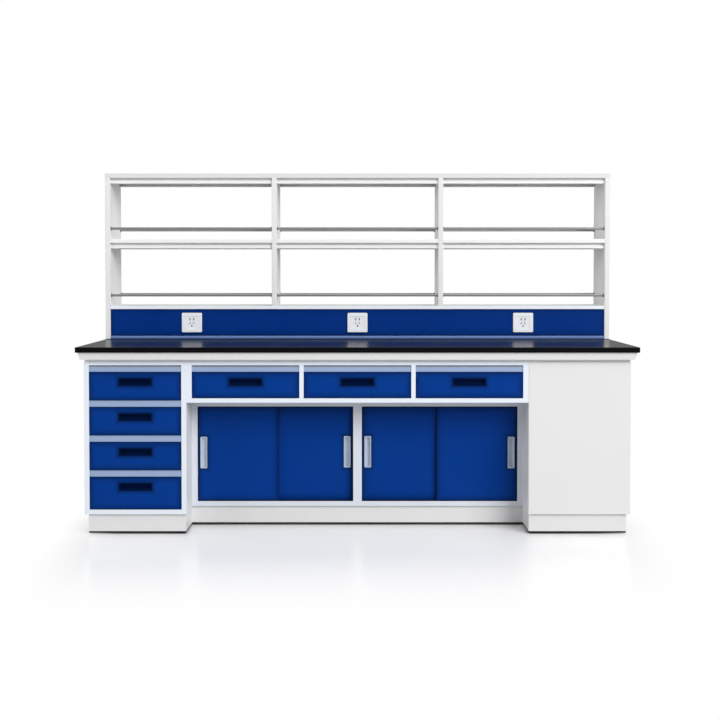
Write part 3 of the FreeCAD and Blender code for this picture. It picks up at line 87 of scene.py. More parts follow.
class Recipe:
    """A Principled material that is put together from texture nodes."""

    def __init__(self, name, **surface):
        self.material = bpy.data.materials.new(name)
        self.material.use_nodes = True
        self.tree = self.material.node_tree
        self.shader = self.tree.nodes["Principled BSDF"]
        self.place = self.add("ShaderNodeTexCoord").outputs["Object"]
        for socket, value in surface.items():
            self.shader.inputs[socket.replace("_", " ")].default_value = value

    def add(self, kind, inputs=None, **settings):
        made = self.tree.nodes.new(kind)
        for name, value in settings.items():
            setattr(made, name, value)
        for name, value in (inputs or {}).items():
            self.feed(made.inputs[name], value)
        return made

    def feed(self, socket, value):
        if isinstance(value, bpy.types.NodeSocket):
            self.tree.links.new(value, socket)
        else:
            socket.default_value = value

    def stretched(self, x, y, z):
        """Object coordinates scaled axis by axis, for grain that runs one way."""
        return self.add("ShaderNodeMapping", {"Vector": self.place, "Scale": (x, y, z)}).outputs["Vector"]

    def noise(self, scale, detail=2.0, place=None):
        inputs = {"Vector": place or self.place, "Scale": scale, "Detail": detail}
        return self.add("ShaderNodeTexNoise", inputs).outputs["Fac"]

    def cells(self, scale):
        return self.add("ShaderNodeTexVoronoi", {"Vector": self.place, "Scale": scale}).outputs["Color"]

    def ramp(self, value, low, high, start=0.3, end=0.7):
        """Take a value between start and end to the range low to high."""
        inputs = {"Value": value, "From Min": start, "From Max": end, "To Min": low, "To Max": high}
        return self.add("ShaderNodeMapRange", inputs).outputs["Result"]

    def blend(self, share, first, second):
        inputs = {0: share, 6: first, 7: second}
        return self.add("ShaderNodeMix", inputs, data_type="RGBA").outputs[2]

    def math(self, operation, *values):
        return self.add("ShaderNodeMath", dict(enumerate(values)), operation=operation).outputs["Value"]

    def depth_inside(self, low, high):
        """How far a point lies inside the upright rectangle between two corners; below 0 outside it."""
        place = self.add("ShaderNodeSeparateXYZ", {"Vector": self.place}).outputs
        depths = []
        for axis, index in (("X", 0), ("Z", 2)):
            from_low = self.math("SUBTRACT", place[axis], low[index])
            from_high = self.math("SUBTRACT", high[index], place[axis])
            depths.append(self.math("MINIMUM", from_low, from_high))
        return self.math("MINIMUM", *depths)

    def painted_shade_near_rim(self, low, high):
        """Mask of painted shade: 1 on the rim of an upright panel between two corners, fading to 0 inside it.
        """
        return self.math("POWER", self.ramp(self.depth_inside(low, high), 1.0, 0.0, 0.0, PAINTED_SHADE_RIM_REACH), 3.0)

    def painted_shade_near_pull(self, low, high):
        """Mask of painted shade: 1 next to a pull that is let into the panel, fading to 0 away from it."""
        return self.math("POWER", self.ramp(self.depth_inside(low, high), 0.0, 1.0, -PAINTED_SHADE_PULL_REACH, 0.0), 2.0)

    def colour(self, value):
        self.feed(self.shader.inputs["Base Color"], value)

    def roughness(self, value):
        self.feed(self.shader.inputs["Roughness"], value)

    def relief(self, height, strength, depth, edge):
        """Bump from a height, over edges softened by the radius edge; returns the finished material."""
        soft = self.add("ShaderNodeBevel", {"Radius": edge}, samples=4).outputs["Normal"]
        inputs = {"Height": height, "Strength": strength, "Distance": depth, "Normal": soft}
        self.feed(self.shader.inputs["Normal"], self.add("ShaderNodeBump", inputs).outputs["Normal"])
        return self.material

    def drift(self):
        """The faint, wide drift in tone of a large painted sheet."""
        return self.ramp(self.noise(1.7, 3.0), 0.0, 1.0)

    def bake(self, gloss):
        """The uneven shine and the orange peel of powder paint; returns the finished material."""
        self.roughness(self.ramp(self.noise(9.0, 3.0), gloss - 0.05, gloss + 0.07))
        return self.relief(self.noise(650.0, 1.0), 0.10, 0.12 * MM, 0.8 * MM)


def powder_coat(name, pale, deep, gloss, specular=0.35, rim=None, panel=None, pull=None):
    """Baked powder paint; the darker tone rim is painted shade, laid along the edge of a panel and round its
    pull.
    """
    made = Recipe(name, Roughness=gloss, Specular_IOR_Level=specular)
    coat = made.blend(made.drift(), pale, deep)
    # rim is the colour of the painted shade along the panel's edge and round its pull
    if panel:
        coat = made.blend(made.painted_shade_near_rim(*panel), coat, rim)
    if pull:
        coat = made.blend(made.painted_shade_near_pull(*pull), coat, rim)
    made.colour(coat)
    return made.bake(gloss)


def painted_front_light_coat(name, front, face):
    """White powder paint with another tone on the surfaces that lie in the plane y = face: painted light and
    shade on the front faces.
    """
    made = Recipe(name, Roughness=SATIN, Specular_IOR_Level=0.35)
    depth = made.add("ShaderNodeSeparateXYZ", {"Vector": made.place}).outputs["Y"]
    drift = made.drift()
    body = made.blend(drift, *WHITE)
    painted_front_tone = made.blend(drift, front, tuple(0.985 * part for part in front[:3]) + (1,))
    made.colour(made.blend(made.ramp(depth, 1.0, 0.0, face + 1 * MM, face + 6 * MM), body, painted_front_tone))
    return made.bake(SATIN)


def solid_resin(name):
    """Black resin slab: satin-polished, with fine pale grains and faint cleaning marks in its shine."""
    made = Recipe(name, Specular_IOR_Level=0.2)
    grain = made.ramp(made.noise(1400.0, 3.0), 0.0, 1.0, 0.60, 0.85)
    made.colour(made.blend(grain, (0.0040, 0.0042, 0.0050, 1), (0.020, 0.021, 0.024, 1)))
    wiped = made.noise(1.0, 4.0, made.stretched(2.5, 16.0, 16.0))
    made.roughness(made.ramp(wiped, 0.23, 0.26))
    return made.relief(made.noise(900.0, 2.0), 0.04, 0.05 * MM, 0.6 * MM)


def moulded(name, pale, deep, gloss, specular=0.45, grain=1600.0, depth=0.05):
    """Moulded plastic with a spark-eroded grain."""
    made = Recipe(name, Specular_IOR_Level=specular)
    made.colour(made.blend(made.ramp(made.noise(30.0, 3.0), 0.0, 1.0), pale, deep))
    made.roughness(made.ramp(made.noise(60.0, 2.0), gloss - 0.04, gloss + 0.06))
    return made.relief(made.noise(grain, 2.0), 0.35, depth * MM, 0.5 * MM)


def drawn_metal(name, pale, deep, gloss, along, metal=1.0):
    """Metal with fine lines drawn along one axis."""
    scale = [1400.0, 1400.0, 1400.0]
    scale["xyz".index(along)] = 6.0
    made = Recipe(name, Metallic=metal)
    lines = made.noise(1.0, 3.0, made.stretched(*scale))
    made.colour(made.blend(made.ramp(lines, 0.0, 1.0), pale, deep))
    made.roughness(made.ramp(lines, gloss - 0.06, gloss + 0.10))
    return made.relief(lines, 0.20, 0.03 * MM, 0.4 * MM)


def galvanised(name):
    """Zinc plating: a mosaic of slightly different greys."""
    made = Recipe(name, Metallic=1.0)
    spangle = made.add("ShaderNodeSeparateColor", {"Color": made.cells(260.0)}).outputs["Red"]
    made.colour(made.blend(spangle, (0.50, 0.52, 0.55, 1), (0.66, 0.68, 0.70, 1)))
    made.roughness(made.ramp(spangle, 0.28, 0.45, 0.0, 1.0))
    return made.relief(made.noise(900.0, 2.0), 0.15, 0.05 * MM, 0.3 * MM)


WHITE = ((0.80, 0.80, 0.80, 1), (0.785, 0.786, 0.788, 1))
BLUE = ((0.0007, 0.0420, 0.275, 1), (0.0005, 0.0390, 0.258, 1))
# Painted shade: a darker copy of the fronts' blue for the raceway's panel, which stands in the shade of the
# rack.
PANEL_BLUE_PAINTED_SHADE = ((0.0005, 0.0320, 0.225, 1), (0.0004, 0.0290, 0.212, 1))
# Painted shade: the blue fronts and the raceway's panel turn to this darker blue towards their rims and round
# their pulls.
BLUE_PAINTED_SHADE = (0.0006, 0.0190, 0.105, 1)

WHITE_PAINT = powder_coat("white_powder_coat", *WHITE, SATIN)
# Painted light and shade on the front faces: a bluish tone on the frames, the cabinets and the raceway's lip
# stands for light thrown by the blue fronts, and the darker tone on the cabinets and the cap stands for
# shade.
FRAME_PAINT = painted_front_light_coat("frame_coat_painted_front_light", (0.825, 0.88, 0.97, 1), FACE)
CABINET_PAINT = painted_front_light_coat("cabinet_coat_painted_front_shade", (0.74, 0.78, 0.86, 1), CABINET_FACE)
CAP_PAINT = painted_front_light_coat("cap_coat_painted_front_shade", (0.725, 0.725, 0.73, 1), RACK_FACE)
# Painted light: a lighter copy of the white paint for the support rails and the rack's beams and middle
# boards, which stand in the shade of overhangs.
LIGHTENED_WHITE_PAINT = powder_coat("white_coat_painted_light", (0.90, 0.90, 0.90, 1), (0.885, 0.885, 0.89, 1), SATIN)
LIP_PAINT = painted_front_light_coat("raceway_coat_painted_front_light", (0.87, 0.92, 0.99, 1), RACK_FACE)
SHADE_PAINT = powder_coat("inner_powder_coat", (0.74, 0.745, 0.76, 1), (0.70, 0.705, 0.725, 1), 0.45)
# Painted shade and painted reflection: the white strips in the recesses between the drawer fronts are given a
# blue-grey that stands for their shade and for the light the blue fronts throw on them.
RECESS_PAINTED_SHADE = powder_coat("recess_strip_painted_shade", (0.345, 0.445, 0.66, 1), (0.315, 0.41, 0.62, 1), 0.40)
# Painted shade and painted reflection: the strip on the raceway's lower lip is a mid blue that stands for its
# shade and the blue panel's reflection.
SILL_PAINTED_SHADE = powder_coat("raceway_lip_painted_shade", (0.125, 0.215, 0.50, 1), (0.11, 0.195, 0.46, 1), 0.40, 0.15)
# Painted shadow: the grey of the beads along the tops of the head strips.
SHADOW_LINE_GREY = moulded("grey_painted_shadow_line", (0.26, 0.265, 0.28, 1), (0.22, 0.225, 0.24, 1), 0.5,
                 specular=0.2, grain=700.0, depth=0.08)
RESIN = solid_resin("black_resin")
BLACK_PLASTIC = moulded("black_plastic", (0.0002, 0.0082, 0.052, 1), (0.0002, 0.0070, 0.045, 1), 0.50, 0.03)
GREY_PLASTIC = moulded("grey_plastic", linear(188, 199, 217), linear(178, 190, 209), 0.46, 0.3)
TRACK_PLASTIC = moulded("track_plastic", (0.60, 0.60, 0.61, 1), (0.55, 0.55, 0.57, 1), 0.40)
WHITE_PLASTIC = moulded("white_plastic", (0.90, 0.93, 0.98, 1), (0.88, 0.91, 0.96, 1), 0.28,
                        grain=2200.0, depth=0.02)
SOCKET_PLASTIC = moulded("socket_insert_plastic", linear(176, 172, 170), linear(160, 157, 156), 0.36)
GREY_FOAM = moulded("packing_foam", (0.88, 0.88, 0.89, 1), (0.82, 0.82, 0.84, 1), 0.6,
                    specular=0.2, grain=500.0, depth=0.2)
RUBBER = moulded("black_rubber", (0.010, 0.010, 0.011, 1), (0.006, 0.006, 0.007, 1), 0.62,
                 specular=0.25, grain=700.0, depth=0.10)
SEALANT = moulded("black_sealant", (0.006, 0.007, 0.010, 1), (0.004, 0.005, 0.008, 1), 0.38,
                  specular=0.3, grain=300.0, depth=0.15)
RAIL_METAL = drawn_metal("rail_steel", (0.36, 0.36, 0.365, 1), (0.29, 0.29, 0.295, 1), 0.46, "x", 0.45)
CUP_METAL = drawn_metal("cup_steel", (0.26, 0.26, 0.265, 1), (0.20, 0.20, 0.205, 1), 0.46, "y", 0.45)
STEEL = drawn_metal("screw_steel", (0.46, 0.47, 0.49, 1), (0.36, 0.37, 0.39, 1), 0.32, "z")
ZINC = galvanised("zinc_plate")

NODE_LOOKS = {
    "worktop": RESIN, "levelling_feet": ZINC, "door_tracks": TRACK_PLASTIC, "recess_strips": RECESS_PAINTED_SHADE,
    "pedestal_runner_rails": ZINC, "apron_runner_rails": ZINC, "socket_back_boxes": ZINC,
    "guard_rails": RAIL_METAL, "guard_rail_cups": CUP_METAL, "socket_plates": WHITE_PLASTIC,
    "pedestal_carcass": FRAME_PAINT, "apron_front_frame": FRAME_PAINT,
    "cabinet_left": CABINET_PAINT, "cabinet_right": CABINET_PAINT,
    "support_rails": LIGHTENED_WHITE_PAINT, "rack_beams": LIGHTENED_WHITE_PAINT, "rack_mid_boards": LIGHTENED_WHITE_PAINT,
    "raceway_housing": LIP_PAINT, "rack_top_board": CAP_PAINT,
}


def look_of(node):
    """The material of a CAD node, from its name."""
    if node in NODE_LOOKS:
        return NODE_LOOKS[node]
    if node.endswith("_pull"):
        return GREY_PLASTIC if node.startswith("door") else BLACK_PLASTIC
    if node.endswith("_box"):
        return SHADE_PAINT
    if node.endswith(("_front", "_panel")):
        colours = PANEL_BLUE_PAINTED_SHADE if node == "raceway_panel" else BLUE
        pull = node.rsplit("_", 1)[0] + "_pull"
        low, high = BOX[node]
        # A door's box is cut to what shows outside its tracks, so that its painted shade lies along the
        # visible rim.
        if node.startswith("door"):
            low = (low[0], low[1], low[2] + DOOR_IN_TRACK[0])
            high = (high[0], high[1], high[2] - DOOR_IN_TRACK[1])
        return powder_coat(f"{node}_paint", *colours, 0.36, 0.08, BLUE_PAINTED_SHADE, (low, high), BOX.get(pull))
    return WHITE_PAINT


for node, made in NODES.items():
    made.data.materials.clear()
    made.data.materials.append(look_of(node))


# ---------------------------------------------------------------- building pieces

TURN = 2 * math.pi
TOWARDS = {   # how a shape is turned to stand its Z axis along a direction
    "+z": Matrix.Identity(4), "-z": Matrix.Rotation(math.pi, 4, "X"),
    "+x": Matrix.Rotation(math.pi / 2, 4, "Y"), "-x": Matrix.Rotation(-math.pi / 2, 4, "Y"),
    "-y": Matrix.Rotation(math.pi / 2, 4, "X"), "+y": Matrix.Rotation(-math.pi / 2, 4, "X"),
}


def in_mm(*points):
    """The points of a profile or an outline, given in millimetres; a count of sides stays as it is."""
    return [(across * MM, up * MM, *sides) for across, up, *sides in points]


def at(place, direction="+z"):
    """A transform that stands a shape's Z axis at a place, along a direction."""
    return Matrix.Translation(Vector(place)) @ TOWARDS[direction]


def add_piece(name, data, look, body):
    """Put a mesh or curve in the scene as a piece that rides on a body."""
    data.materials.append(look)
    made = bpy.data.objects.new(name, data)
    bpy.context.scene.collection.objects.link(made)
    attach(made, body)
    return made


def finish_piece(name, shape, look, body="bench", sharp=32.0):
    """Turn a bmesh into a piece, smooth except at edges sharper than an angle in degrees."""
    bmesh.ops.recalc_face_normals(shape, faces=shape.faces)
    mesh = bpy.data.meshes.new(name)
    shape.to_mesh(mesh)
    shape.free()
    mesh.polygons.foreach_set("use_smooth", [True] * len(mesh.polygons))
    mesh.set_sharp_from_angle(angle=math.radians(sharp))
    return add_piece(name, mesh, look, body)


def ring_points(radius, height, segments, sides=0):
    """Points round Z at a height: on a circle, or on a regular polygon with that inner radius."""
    points = []
    for step in range(segments):
        angle = TURN * step / segments
        reach = radius
        if sides:
            part = TURN / sides
            reach = radius / math.cos(angle % part - part / 2)
        points.append((reach * math.cos(angle), reach * math.sin(angle), height))
    return points


def turned(shape, profile, place, segments=32):
    """Revolve a profile of (radius, height) or (inner radius, height, sides) into a closed surface."""
    rings = []
    for radius, height, *sides in profile:
        if radius == 0:
            rings.append([shape.verts.new(place @ Vector((0, 0, height)))])
        else:
            points = ring_points(radius, height, segments, *sides)
            rings.append([shape.verts.new(place @ Vector(point)) for point in points])
    for lower, upper in zip(rings, rings[1:]):
        for step in range(segments):
            after = (step + 1) % segments
            corners = [lower[step % len(lower)], lower[after % len(lower)],
                       upper[after % len(upper)], upper[step % len(upper)]]
            shape.faces.new(list(dict.fromkeys(corners)))


def slab(shape, outline, low, high, place):
    """A prism over an outline of (x, y) points, between two heights."""
    bottom = [shape.verts.new(place @ Vector((x, y, low))) for x, y in outline]
    top = [shape.verts.new(place @ Vector((x, y, high))) for x, y in outline]
    shape.faces.new(bottom[::-1])
    shape.faces.new(top)
    for step in range(len(outline)):
        after = (step + 1) % len(outline)
        shape.faces.new((bottom[step], bottom[after], top[after], top[step]))


def slab_along(shape, outline, start, end, y, z):
    """A prism along the bench, over an outline of (forwards, up) points from the line y, z."""
    slab(shape, [(-up, -forwards) for forwards, up in outline], start, end, at((0, y, z), "+x"))


def add_frame(shape, x, z, y, width):
    """A closed frame round the upright rectangle x, z, as deep as y; a width below 0 grows inwards."""
    rings = []
    for out in (0.0, width):
        for depth in y:
            rings.append([shape.verts.new(point) for point in (
                (x[0] - out, depth, z[0] - out), (x[1] + out, depth, z[0] - out),
                (x[1] + out, depth, z[1] + out), (x[0] - out, depth, z[1] + out))])
    inner_front, inner_back, outer_front, outer_back = rings
    for first, second in ((inner_front, outer_front), (outer_front, outer_back),
                          (outer_back, inner_back), (inner_back, inner_front)):
        for step in range(4):
            after = (step + 1) % 4
            shape.faces.new((first[step], first[after], second[after], second[step]))


def shadow_line_frame(name, x, z, y, width, body="bench"):
    """A piece: one thin black rubber frame round the upright rectangle x, z, a dark line that stands for
    shade.
    """
    shape = bmesh.new()
    add_frame(shape, x, z, y, width)
    finish_piece(name, shape, RUBBER, body)


def screw_head(shape, place, radius, height):
    """A domed screw head with a hexagon socket."""
    socket = radius * 0.36
    turned(shape, [(0, -height * 0.2), (radius, -height * 0.2), (radius, height * 0.25),
                   (radius * 0.86, height * 0.72), (radius * 0.55, height), (socket, height, 6),
                   (socket, height * 0.25, 6), (0, height * 0.25)], place, 24)


def rivet_head(shape, place, radius):
    """A blind rivet: a low dome with the dimple of its broken stem."""
    turned(shape, [(0, -0.2 * MM), (radius, -0.2 * MM), (radius, 0.25 * MM), (radius * 0.8, 0.75 * MM),
                   (radius * 0.45, 1.0 * MM), (radius * 0.34, 0.95 * MM), (radius * 0.28, 0.35 * MM),
                   (0, 0.35 * MM)], place, 20)


def bead(name, points, radius, look, body="bench", closed=False):
    """A round bead along straight runs between points."""
    curve = bpy.data.curves.new(name, "CURVE")
    curve.dimensions = "3D"
    curve.bevel_depth = radius
    curve.bevel_resolution = 3
    curve.use_fill_caps = True
    spline = curve.splines.new("POLY")
    spline.points.add(len(points) - 1)
    for point, place in zip(spline.points, points):
        point.co = (*place, 1.0)
    spline.use_cyclic_u = closed
    add_piece(name, curve, look, body)


def spread(low, high, count):
    """Evenly spaced places from low to high."""
    return [low + (high - low) * step / (count - 1) for step in range(count)]


# ---------------------------------------------------------------- levelling feet

def foot_places():
    """Where the sixteen feet stand in plan, four under each case."""
    inset = 60 * MM
    places = []
    for unit in ("pedestal_carcass", "cabinet_left", "cabinet_right", "blank_unit_casing"):
        low, high = BOX[unit]
        for x in (low[0] + inset, high[0] - inset):
            for y in (low[1] + inset, high[1] - inset):
                places.append((x, y))
    return places


def make_feet():
    """Turned feet: rubber pad, steel cup, grooved stud and a chamfered lock nut."""
    pads, steel = bmesh.new(), bmesh.new()
    stud, groove, half_pitch = 5.0, 0.35, 1.0       # the thread's radius, depth and half pitch in millimetres
    pad = in_mm((0, 0), (17.2, 0), (19.0, 1.2), (19.0, 4.0), (0, 4.0))
    cup = in_mm((0, 4.0), (18.4, 4.0), (18.4, 5.4), (16.0, 7.2), (9.0, 8.6), (7.2, 10.5), (7.0, 13.0),
                (stud, 14.5), (0, 14.5))
    grooves = in_mm(*((stud - groove * (step % 2), 14.0 + half_pitch * step) for step in range(70)))
    nut = in_mm((0, -8.0), (7.6, -8.0), (8.6, -7.2, 6), (8.6, -0.8, 6), (7.6, 0), (0, 0))
    for x, y in foot_places():
        place = at((x, y, 0))
        turned(pads, pad, place, 40)
        turned(steel, cup, place, 40)
        turned(steel, [(0, grooves[0][1]), *grooves, (0, grooves[-1][1])], place, 20)
        turned(steel, nut, at((x, y, CASE_FLOOR - 0.1 * MM)), 48)
    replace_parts(finish_piece("foot_pads", pads, RUBBER), "levelling_feet")
    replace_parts(finish_piece("foot_studs", steel, ZINC), "levelling_feet")


# ---------------------------------------------------------------- guard rails

def make_guard_rails():
    """Drawn bars in turned cups, each cup with a grub screw underneath."""
    bars, cups, grubs = bmesh.new(), bmesh.new(), bmesh.new()
    bar, cup, depth = 6.5 * MM, 9.0 * MM, 5.0 * MM
    low, high = BOX["guard_rails"]
    posts = [BOX[name] for name in ("rack_end_left", "rack_post_left", "rack_post_right", "rack_end_right")]
    inside = depth - 1 * MM
    cup_profile = [(0, 0), (cup, 0), (cup, depth - 1.2 * MM), (cup - 0.5 * MM, depth - 0.4 * MM),
                   (cup - 1.2 * MM, depth), (bar + 0.15 * MM, depth), (bar + 0.15 * MM, 2.5 * MM),
                   (0, 2.5 * MM)]
    grub_profile = in_mm((0, -1), (1.5, -1), (1.5, 0.25), (0.8, 0.25, 6), (0.8, -0.5, 6), (0, -0.5))
    for z in (low[2] + bar, high[2] - bar):
        for y in (low[1] + bar, high[1] - bar):
            for before, after in zip(posts, posts[1:]):
                start, end = before[1][0], after[0][0]
                outside = end - start - inside
                bar_profile = [(0, inside), (bar, inside), (bar, outside), (0, outside)]
                turned(bars, bar_profile, at((start, y, z), "+x"), 40)
                for x, direction, inwards in ((start, "+x", depth / 2), (end, "-x", -depth / 2)):
                    turned(cups, cup_profile, at((x, y, z), direction), 40)
                    turned(grubs, grub_profile, at((x + inwards, y, z - cup), "-z"), 24)
    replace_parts(finish_piece("guard_rail_bars", bars, RAIL_METAL), "guard_rails")
    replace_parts(finish_piece("guard_rail_turned_cups", cups, CUP_METAL), "guard_rail_cups")
    finish_piece("guard_rail_grub_screws", grubs, STEEL)


# ---------------------------------------------------------------- raceway and sockets

def make_raceway_trim():
    """A blue strip on the raceway's lower lip, painted shade and painted reflection of the blue panel, and
    sealant along it, whose thick black bead also stands for the dark reflection along the back of the
    worktop, and at the rack's two ends.
    """
    (start, _, _), (end, _, _) = BOX["raceway_panel"]
    trim = bmesh.new()
    outline = in_mm((0, 0), (1.2, 0.4), (1.2, 11.6), (0, 12.0))
    slab_along(trim, outline, start, end, RACK_FACE, DECK + 2.9 * MM)
    finish_piece("raceway_lip_shade_strip", trim, SILL_PAINTED_SHADE)
    y, z = RACK_FACE - 0.8 * MM, DECK + 0.8 * MM
    bead("raceway_sealant", [(start, y, z), (end, y, z)], 3.6 * MM, SEALANT)
    for side in ("left", "right"):
        (x0, _, _), (x1, _, _) = BOX[f"rack_end_{side}"]
        bead(f"post_sealant_{side}", [(x0, y, z), (x1, y, z)], 1.8 * MM, SEALANT)


def slot_rim(shape, outline, centre, place):
    """A raised rim that runs round a slot, flat on top with a bevelled outer edge."""
    def ring(out, height):
        corners = [(x + math.copysign(out, x - centre[0]), y + math.copysign(out, y - centre[1]), height)
                   for x, y in outline]
        return [shape.verts.new(place @ Vector(corner)) for corner in corners]

    loops = [ring(0.05 * MM, -0.3 * MM), ring(0.05 * MM, 0.5 * MM), ring(0.9 * MM, 0.5 * MM),
             ring(1.5 * MM, 0.0), ring(1.5 * MM, -0.3 * MM)]
    for first, second in zip(loops, loops[1:] + loops[:1]):
        for step in range(4):
            after = (step + 1) % 4
            shape.faces.new((first[step], first[after], second[after], second[step]))


# The slots of a socket: across and up from its middle in millimetres, and which way the slot leans.
SLOTS = ((-9.0, 17.0, 0), (9.0, 17.0, 0), (-9.0, -2.0, 1), (9.0, -2.0, -1), (0, -16.0, 0))


def make_socket_parts():
    """Dark shutters in the sockets' slots, a moulded rim round each slot, a gasket behind each plate; the
    shutters stand for the shade deep in the slots and the gaskets for the shadow round the plates.
    """
    shutters, rims, gaskets = bmesh.new(), bmesh.new(), bmesh.new()
    low, high = BOX["socket_plates"]
    z = (low[2] + high[2]) / 2
    dish = low[1] + 2 * MM
    panel = BOX["raceway_panel"][0][1]
    wide, tall, slant = 1.5 * MM, 4.4 * MM, 2.2 * MM
    for x in SOCKETS:
        place = at((x, dish, z), "-y")
        for across, up, lean in SLOTS:
            shift = lean * slant
            cx, cz = across * MM, up * MM
            outline = [(cx - wide - shift, cz - tall), (cx + wide - shift, cz - tall),
                       (cx + wide + shift, cz + tall), (cx - wide + shift, cz + tall)]
            slab(shutters, outline, -4.4 * MM, -0.9 * MM, place)
            slot_rim(rims, outline, (cx, cz), place)
        add_frame(gaskets, (x - HALF_PLATE, x + HALF_PLATE), (low[2], high[2]),
                  (panel - 1.0 * MM, panel - 0.05 * MM), 1.8 * MM)
    finish_piece("socket_shutters", shutters, BLACK_PLASTIC)
    finish_piece("socket_slot_rims", rims, SOCKET_PLASTIC)
    finish_piece("socket_gaskets", gaskets, RUBBER)


# ---------------------------------------------------------------- drawers

def make_drawer_parts(name):
    """The hemmed rim of a drawer's tray and the screws that hold its runners, inside it."""
    low, high = BOX[f"{name}_box"]
    sheet, hem, runner = 1.2 * MM, 1.5 * MM, low[2] + 30 * MM
    margin, middle = 60 * MM, 250 * MM      # where the screws are, from the tray's ends and from its front
    left, right = BOX[f"{name}_front"][0][0] + TRAY_INSET, BOX[f"{name}_front"][1][0] - TRAY_INSET
    front, back, top = low[1], high[1], high[2]
    mid = sheet / 2
    rim = [(left + mid, front + mid, top), (right - mid, front + mid, top),
           (right - mid, back - mid, top), (left + mid, back - mid, top)]
    bead(f"{name}_hem", rim, hem, SHADE_PAINT, name, closed=True)
    screws = bmesh.new()
    for y in (front + margin, front + middle, back - margin):
        screw_head(screws, at((left + sheet, y, runner), "+x"), 3.6 * MM, 1.8 * MM)
        screw_head(screws, at((right - sheet, y, runner), "-x"), 3.6 * MM, 1.8 * MM)
    finish_piece(f"{name}_runner_screws", screws, STEEL, name)


def make_drawer_seals():
    """A black lip seal round each drawer front, in the gap to the case and just behind its face; its dark
    line also stands for the shade in the gap.
    """
    for name in DRAWERS:
        low, high = BOX[f"{name}_front"]
        shadow_line_frame(f"{name}_seal", (low[0], high[0]), (low[2], high[2]),
                     (low[1] + 1.6 * MM, low[1] + 12 * MM), 0.9 * MM, name)


def make_door_seals():
    """Black lips along the openings of the sliding doors, and thin gaskets round their pulls; their dark
    lines stand for the shade at the openings' edges and round the pulls.
    """
    low, high = BOX["cabinet_left"]
    opening = (low[2] + CABINET_SILL, high[2] - CABINET_HEAD)
    behind = (CABINET_FACE + 0.6 * MM, CABINET_FACE + 3.1 * MM)
    for side in ("left", "right"):
        outer, inner = BOX[f"door_{side}_outer_panel"], BOX[f"door_{side}_inner_panel"]
        span = (min(outer[0][0], inner[0][0]) - 1 * MM, max(outer[1][0], inner[1][0]) + 1 * MM)
        shadow_line_frame(f"door_lip_{side}", span, opening, behind, -3.0 * MM)
    for name in DOORS:
        low, high = BOX[f"{name}_pull"]
        face = BOX[f"{name}_panel"][0][1]
        shadow_line_frame(f"{name}_pull_gasket", (low[0], high[0]), (low[2], high[2]),
                     (face - 0.4 * MM, face + 0.5 * MM), 0.8 * MM, name)


def make_case_trim():
    """Foam packing in the groove under the sub-frame, and a grey bead along the top of each head strip that
    stands for the shadow line there.
    """
    packing, gaskets = bmesh.new(), bmesh.new()
    half = BOX["blank_unit_casing"][1][0]
    near, far, play = 3 * MM, 13.8 * MM, 0.3 * MM
    wide, narrow = half - near, half - far
    front, behind, end = FACE + near, FACE + far, CASE_BACK - far
    outline = [(-wide, front), (wide, front), (wide, end), (narrow, end),
               (narrow, behind), (-narrow, behind), (-narrow, end), (-wide, end)]
    slab(packing, outline, CASE_TOP + play, FRAME_UNDER - play, at((0, 0, 0)))
    finish_piece("frame_packing", packing, GREY_FOAM)
    # Painted shadow: a grey bead where the top of each head strip lies in shade.
    top = BOX["recess_strips"][1][2] - 2.4 * MM
    outline = in_mm((0, 0), (0.9, 0), (2.4, -1.2), (2.4, -4.6), (0.4, -6.8), (0, -6.8))
    for name in ("pedestal_drawer_1", *APRON_DRAWERS):
        low, high = BOX[f"{name}_front"]
        slab_along(gaskets, outline, low[0] - 0.4 * MM, high[0] + 0.4 * MM, FACE + 5.0 * MM, top)
    finish_piece("head_strip_shadow_lines", gaskets, SHADOW_LINE_GREY)


def make_plinth_seals():
    """A rubber lip on the lower edge of each plinth, just behind its face; its dark line stands for the shade
    under the plinth.
    """
    low, high = BOX["plinth_panels"]
    top, bottom, back, half = low[2] + 2 * MM, 5.5 * MM, 1.2 * MM, 0.6 * MM
    front, recessed, rear = low[1] + 1.6 * MM, CABINET_FACE + 11.6 * MM, high[1]
    recess = BOX["apron_case"][1][0] + 4 * MM       # half the width of the middle plinth
    outer, inner = high[0] - back, recess + back
    lips = bmesh.new()
    runs = (((-outer, front), (-inner, front)), ((-inner, front), (-inner, recessed)),
            ((-recess, recessed), (recess, recessed)), ((inner, front), (inner, recessed)),
            ((inner, front), (outer, front)), ((-outer, front), (-outer, rear)),
            ((outer, front), (outer, rear)))
    for (x0, y0), (x1, y1) in runs:
        wide, deep = (0.0, half) if x0 != x1 else (half, 0.0)
        outline = [(x0 - wide, y0 - deep), (x1 + wide, y0 - deep),
                   (x1 + wide, y1 + deep), (x0 - wide, y1 + deep)]
        slab(lips, outline, bottom, top, at((0, 0, 0)))
    finish_piece("plinth_lips", lips, RUBBER)


# ---------------------------------------------------------------- backs

def make_back_rivets():
    """Blind rivets round the back of every case and along the raceway's back."""
    rivets = bmesh.new()
    margin, pitch = 12 * MM, 160 * MM
    for unit in ("pedestal_carcass", "apron_case", "cabinet_left", "cabinet_right", "blank_unit_chassis"):
        low, high = BOX[unit]
        top = min(high[2], CASE_TOP)
        across = spread(low[0] + margin, high[0] - margin, max(3, round((high[0] - low[0]) / pitch) + 1))
        up = spread(low[2] + margin, top - margin, max(2, round((top - low[2]) / pitch) + 1))
        places = [(x, z) for x in across for z in (up[0], up[-1])]
        places += [(x, z) for x in (across[0], across[-1]) for z in up[1:-1]]
        for x, z in places:
            rivet_head(rivets, at((x, high[1], z), "+y"), 3.2 * MM)
    low, high = BOX["raceway_housing"]
    for x in spread(low[0] + 20 * MM, high[0] - 20 * MM, 13):
        for z in (low[2] + margin, high[2] - margin):
            rivet_head(rivets, at((x, high[1], z), "+y"), 2.4 * MM)
    finish_piece("back_rivets", rivets, ZINC)


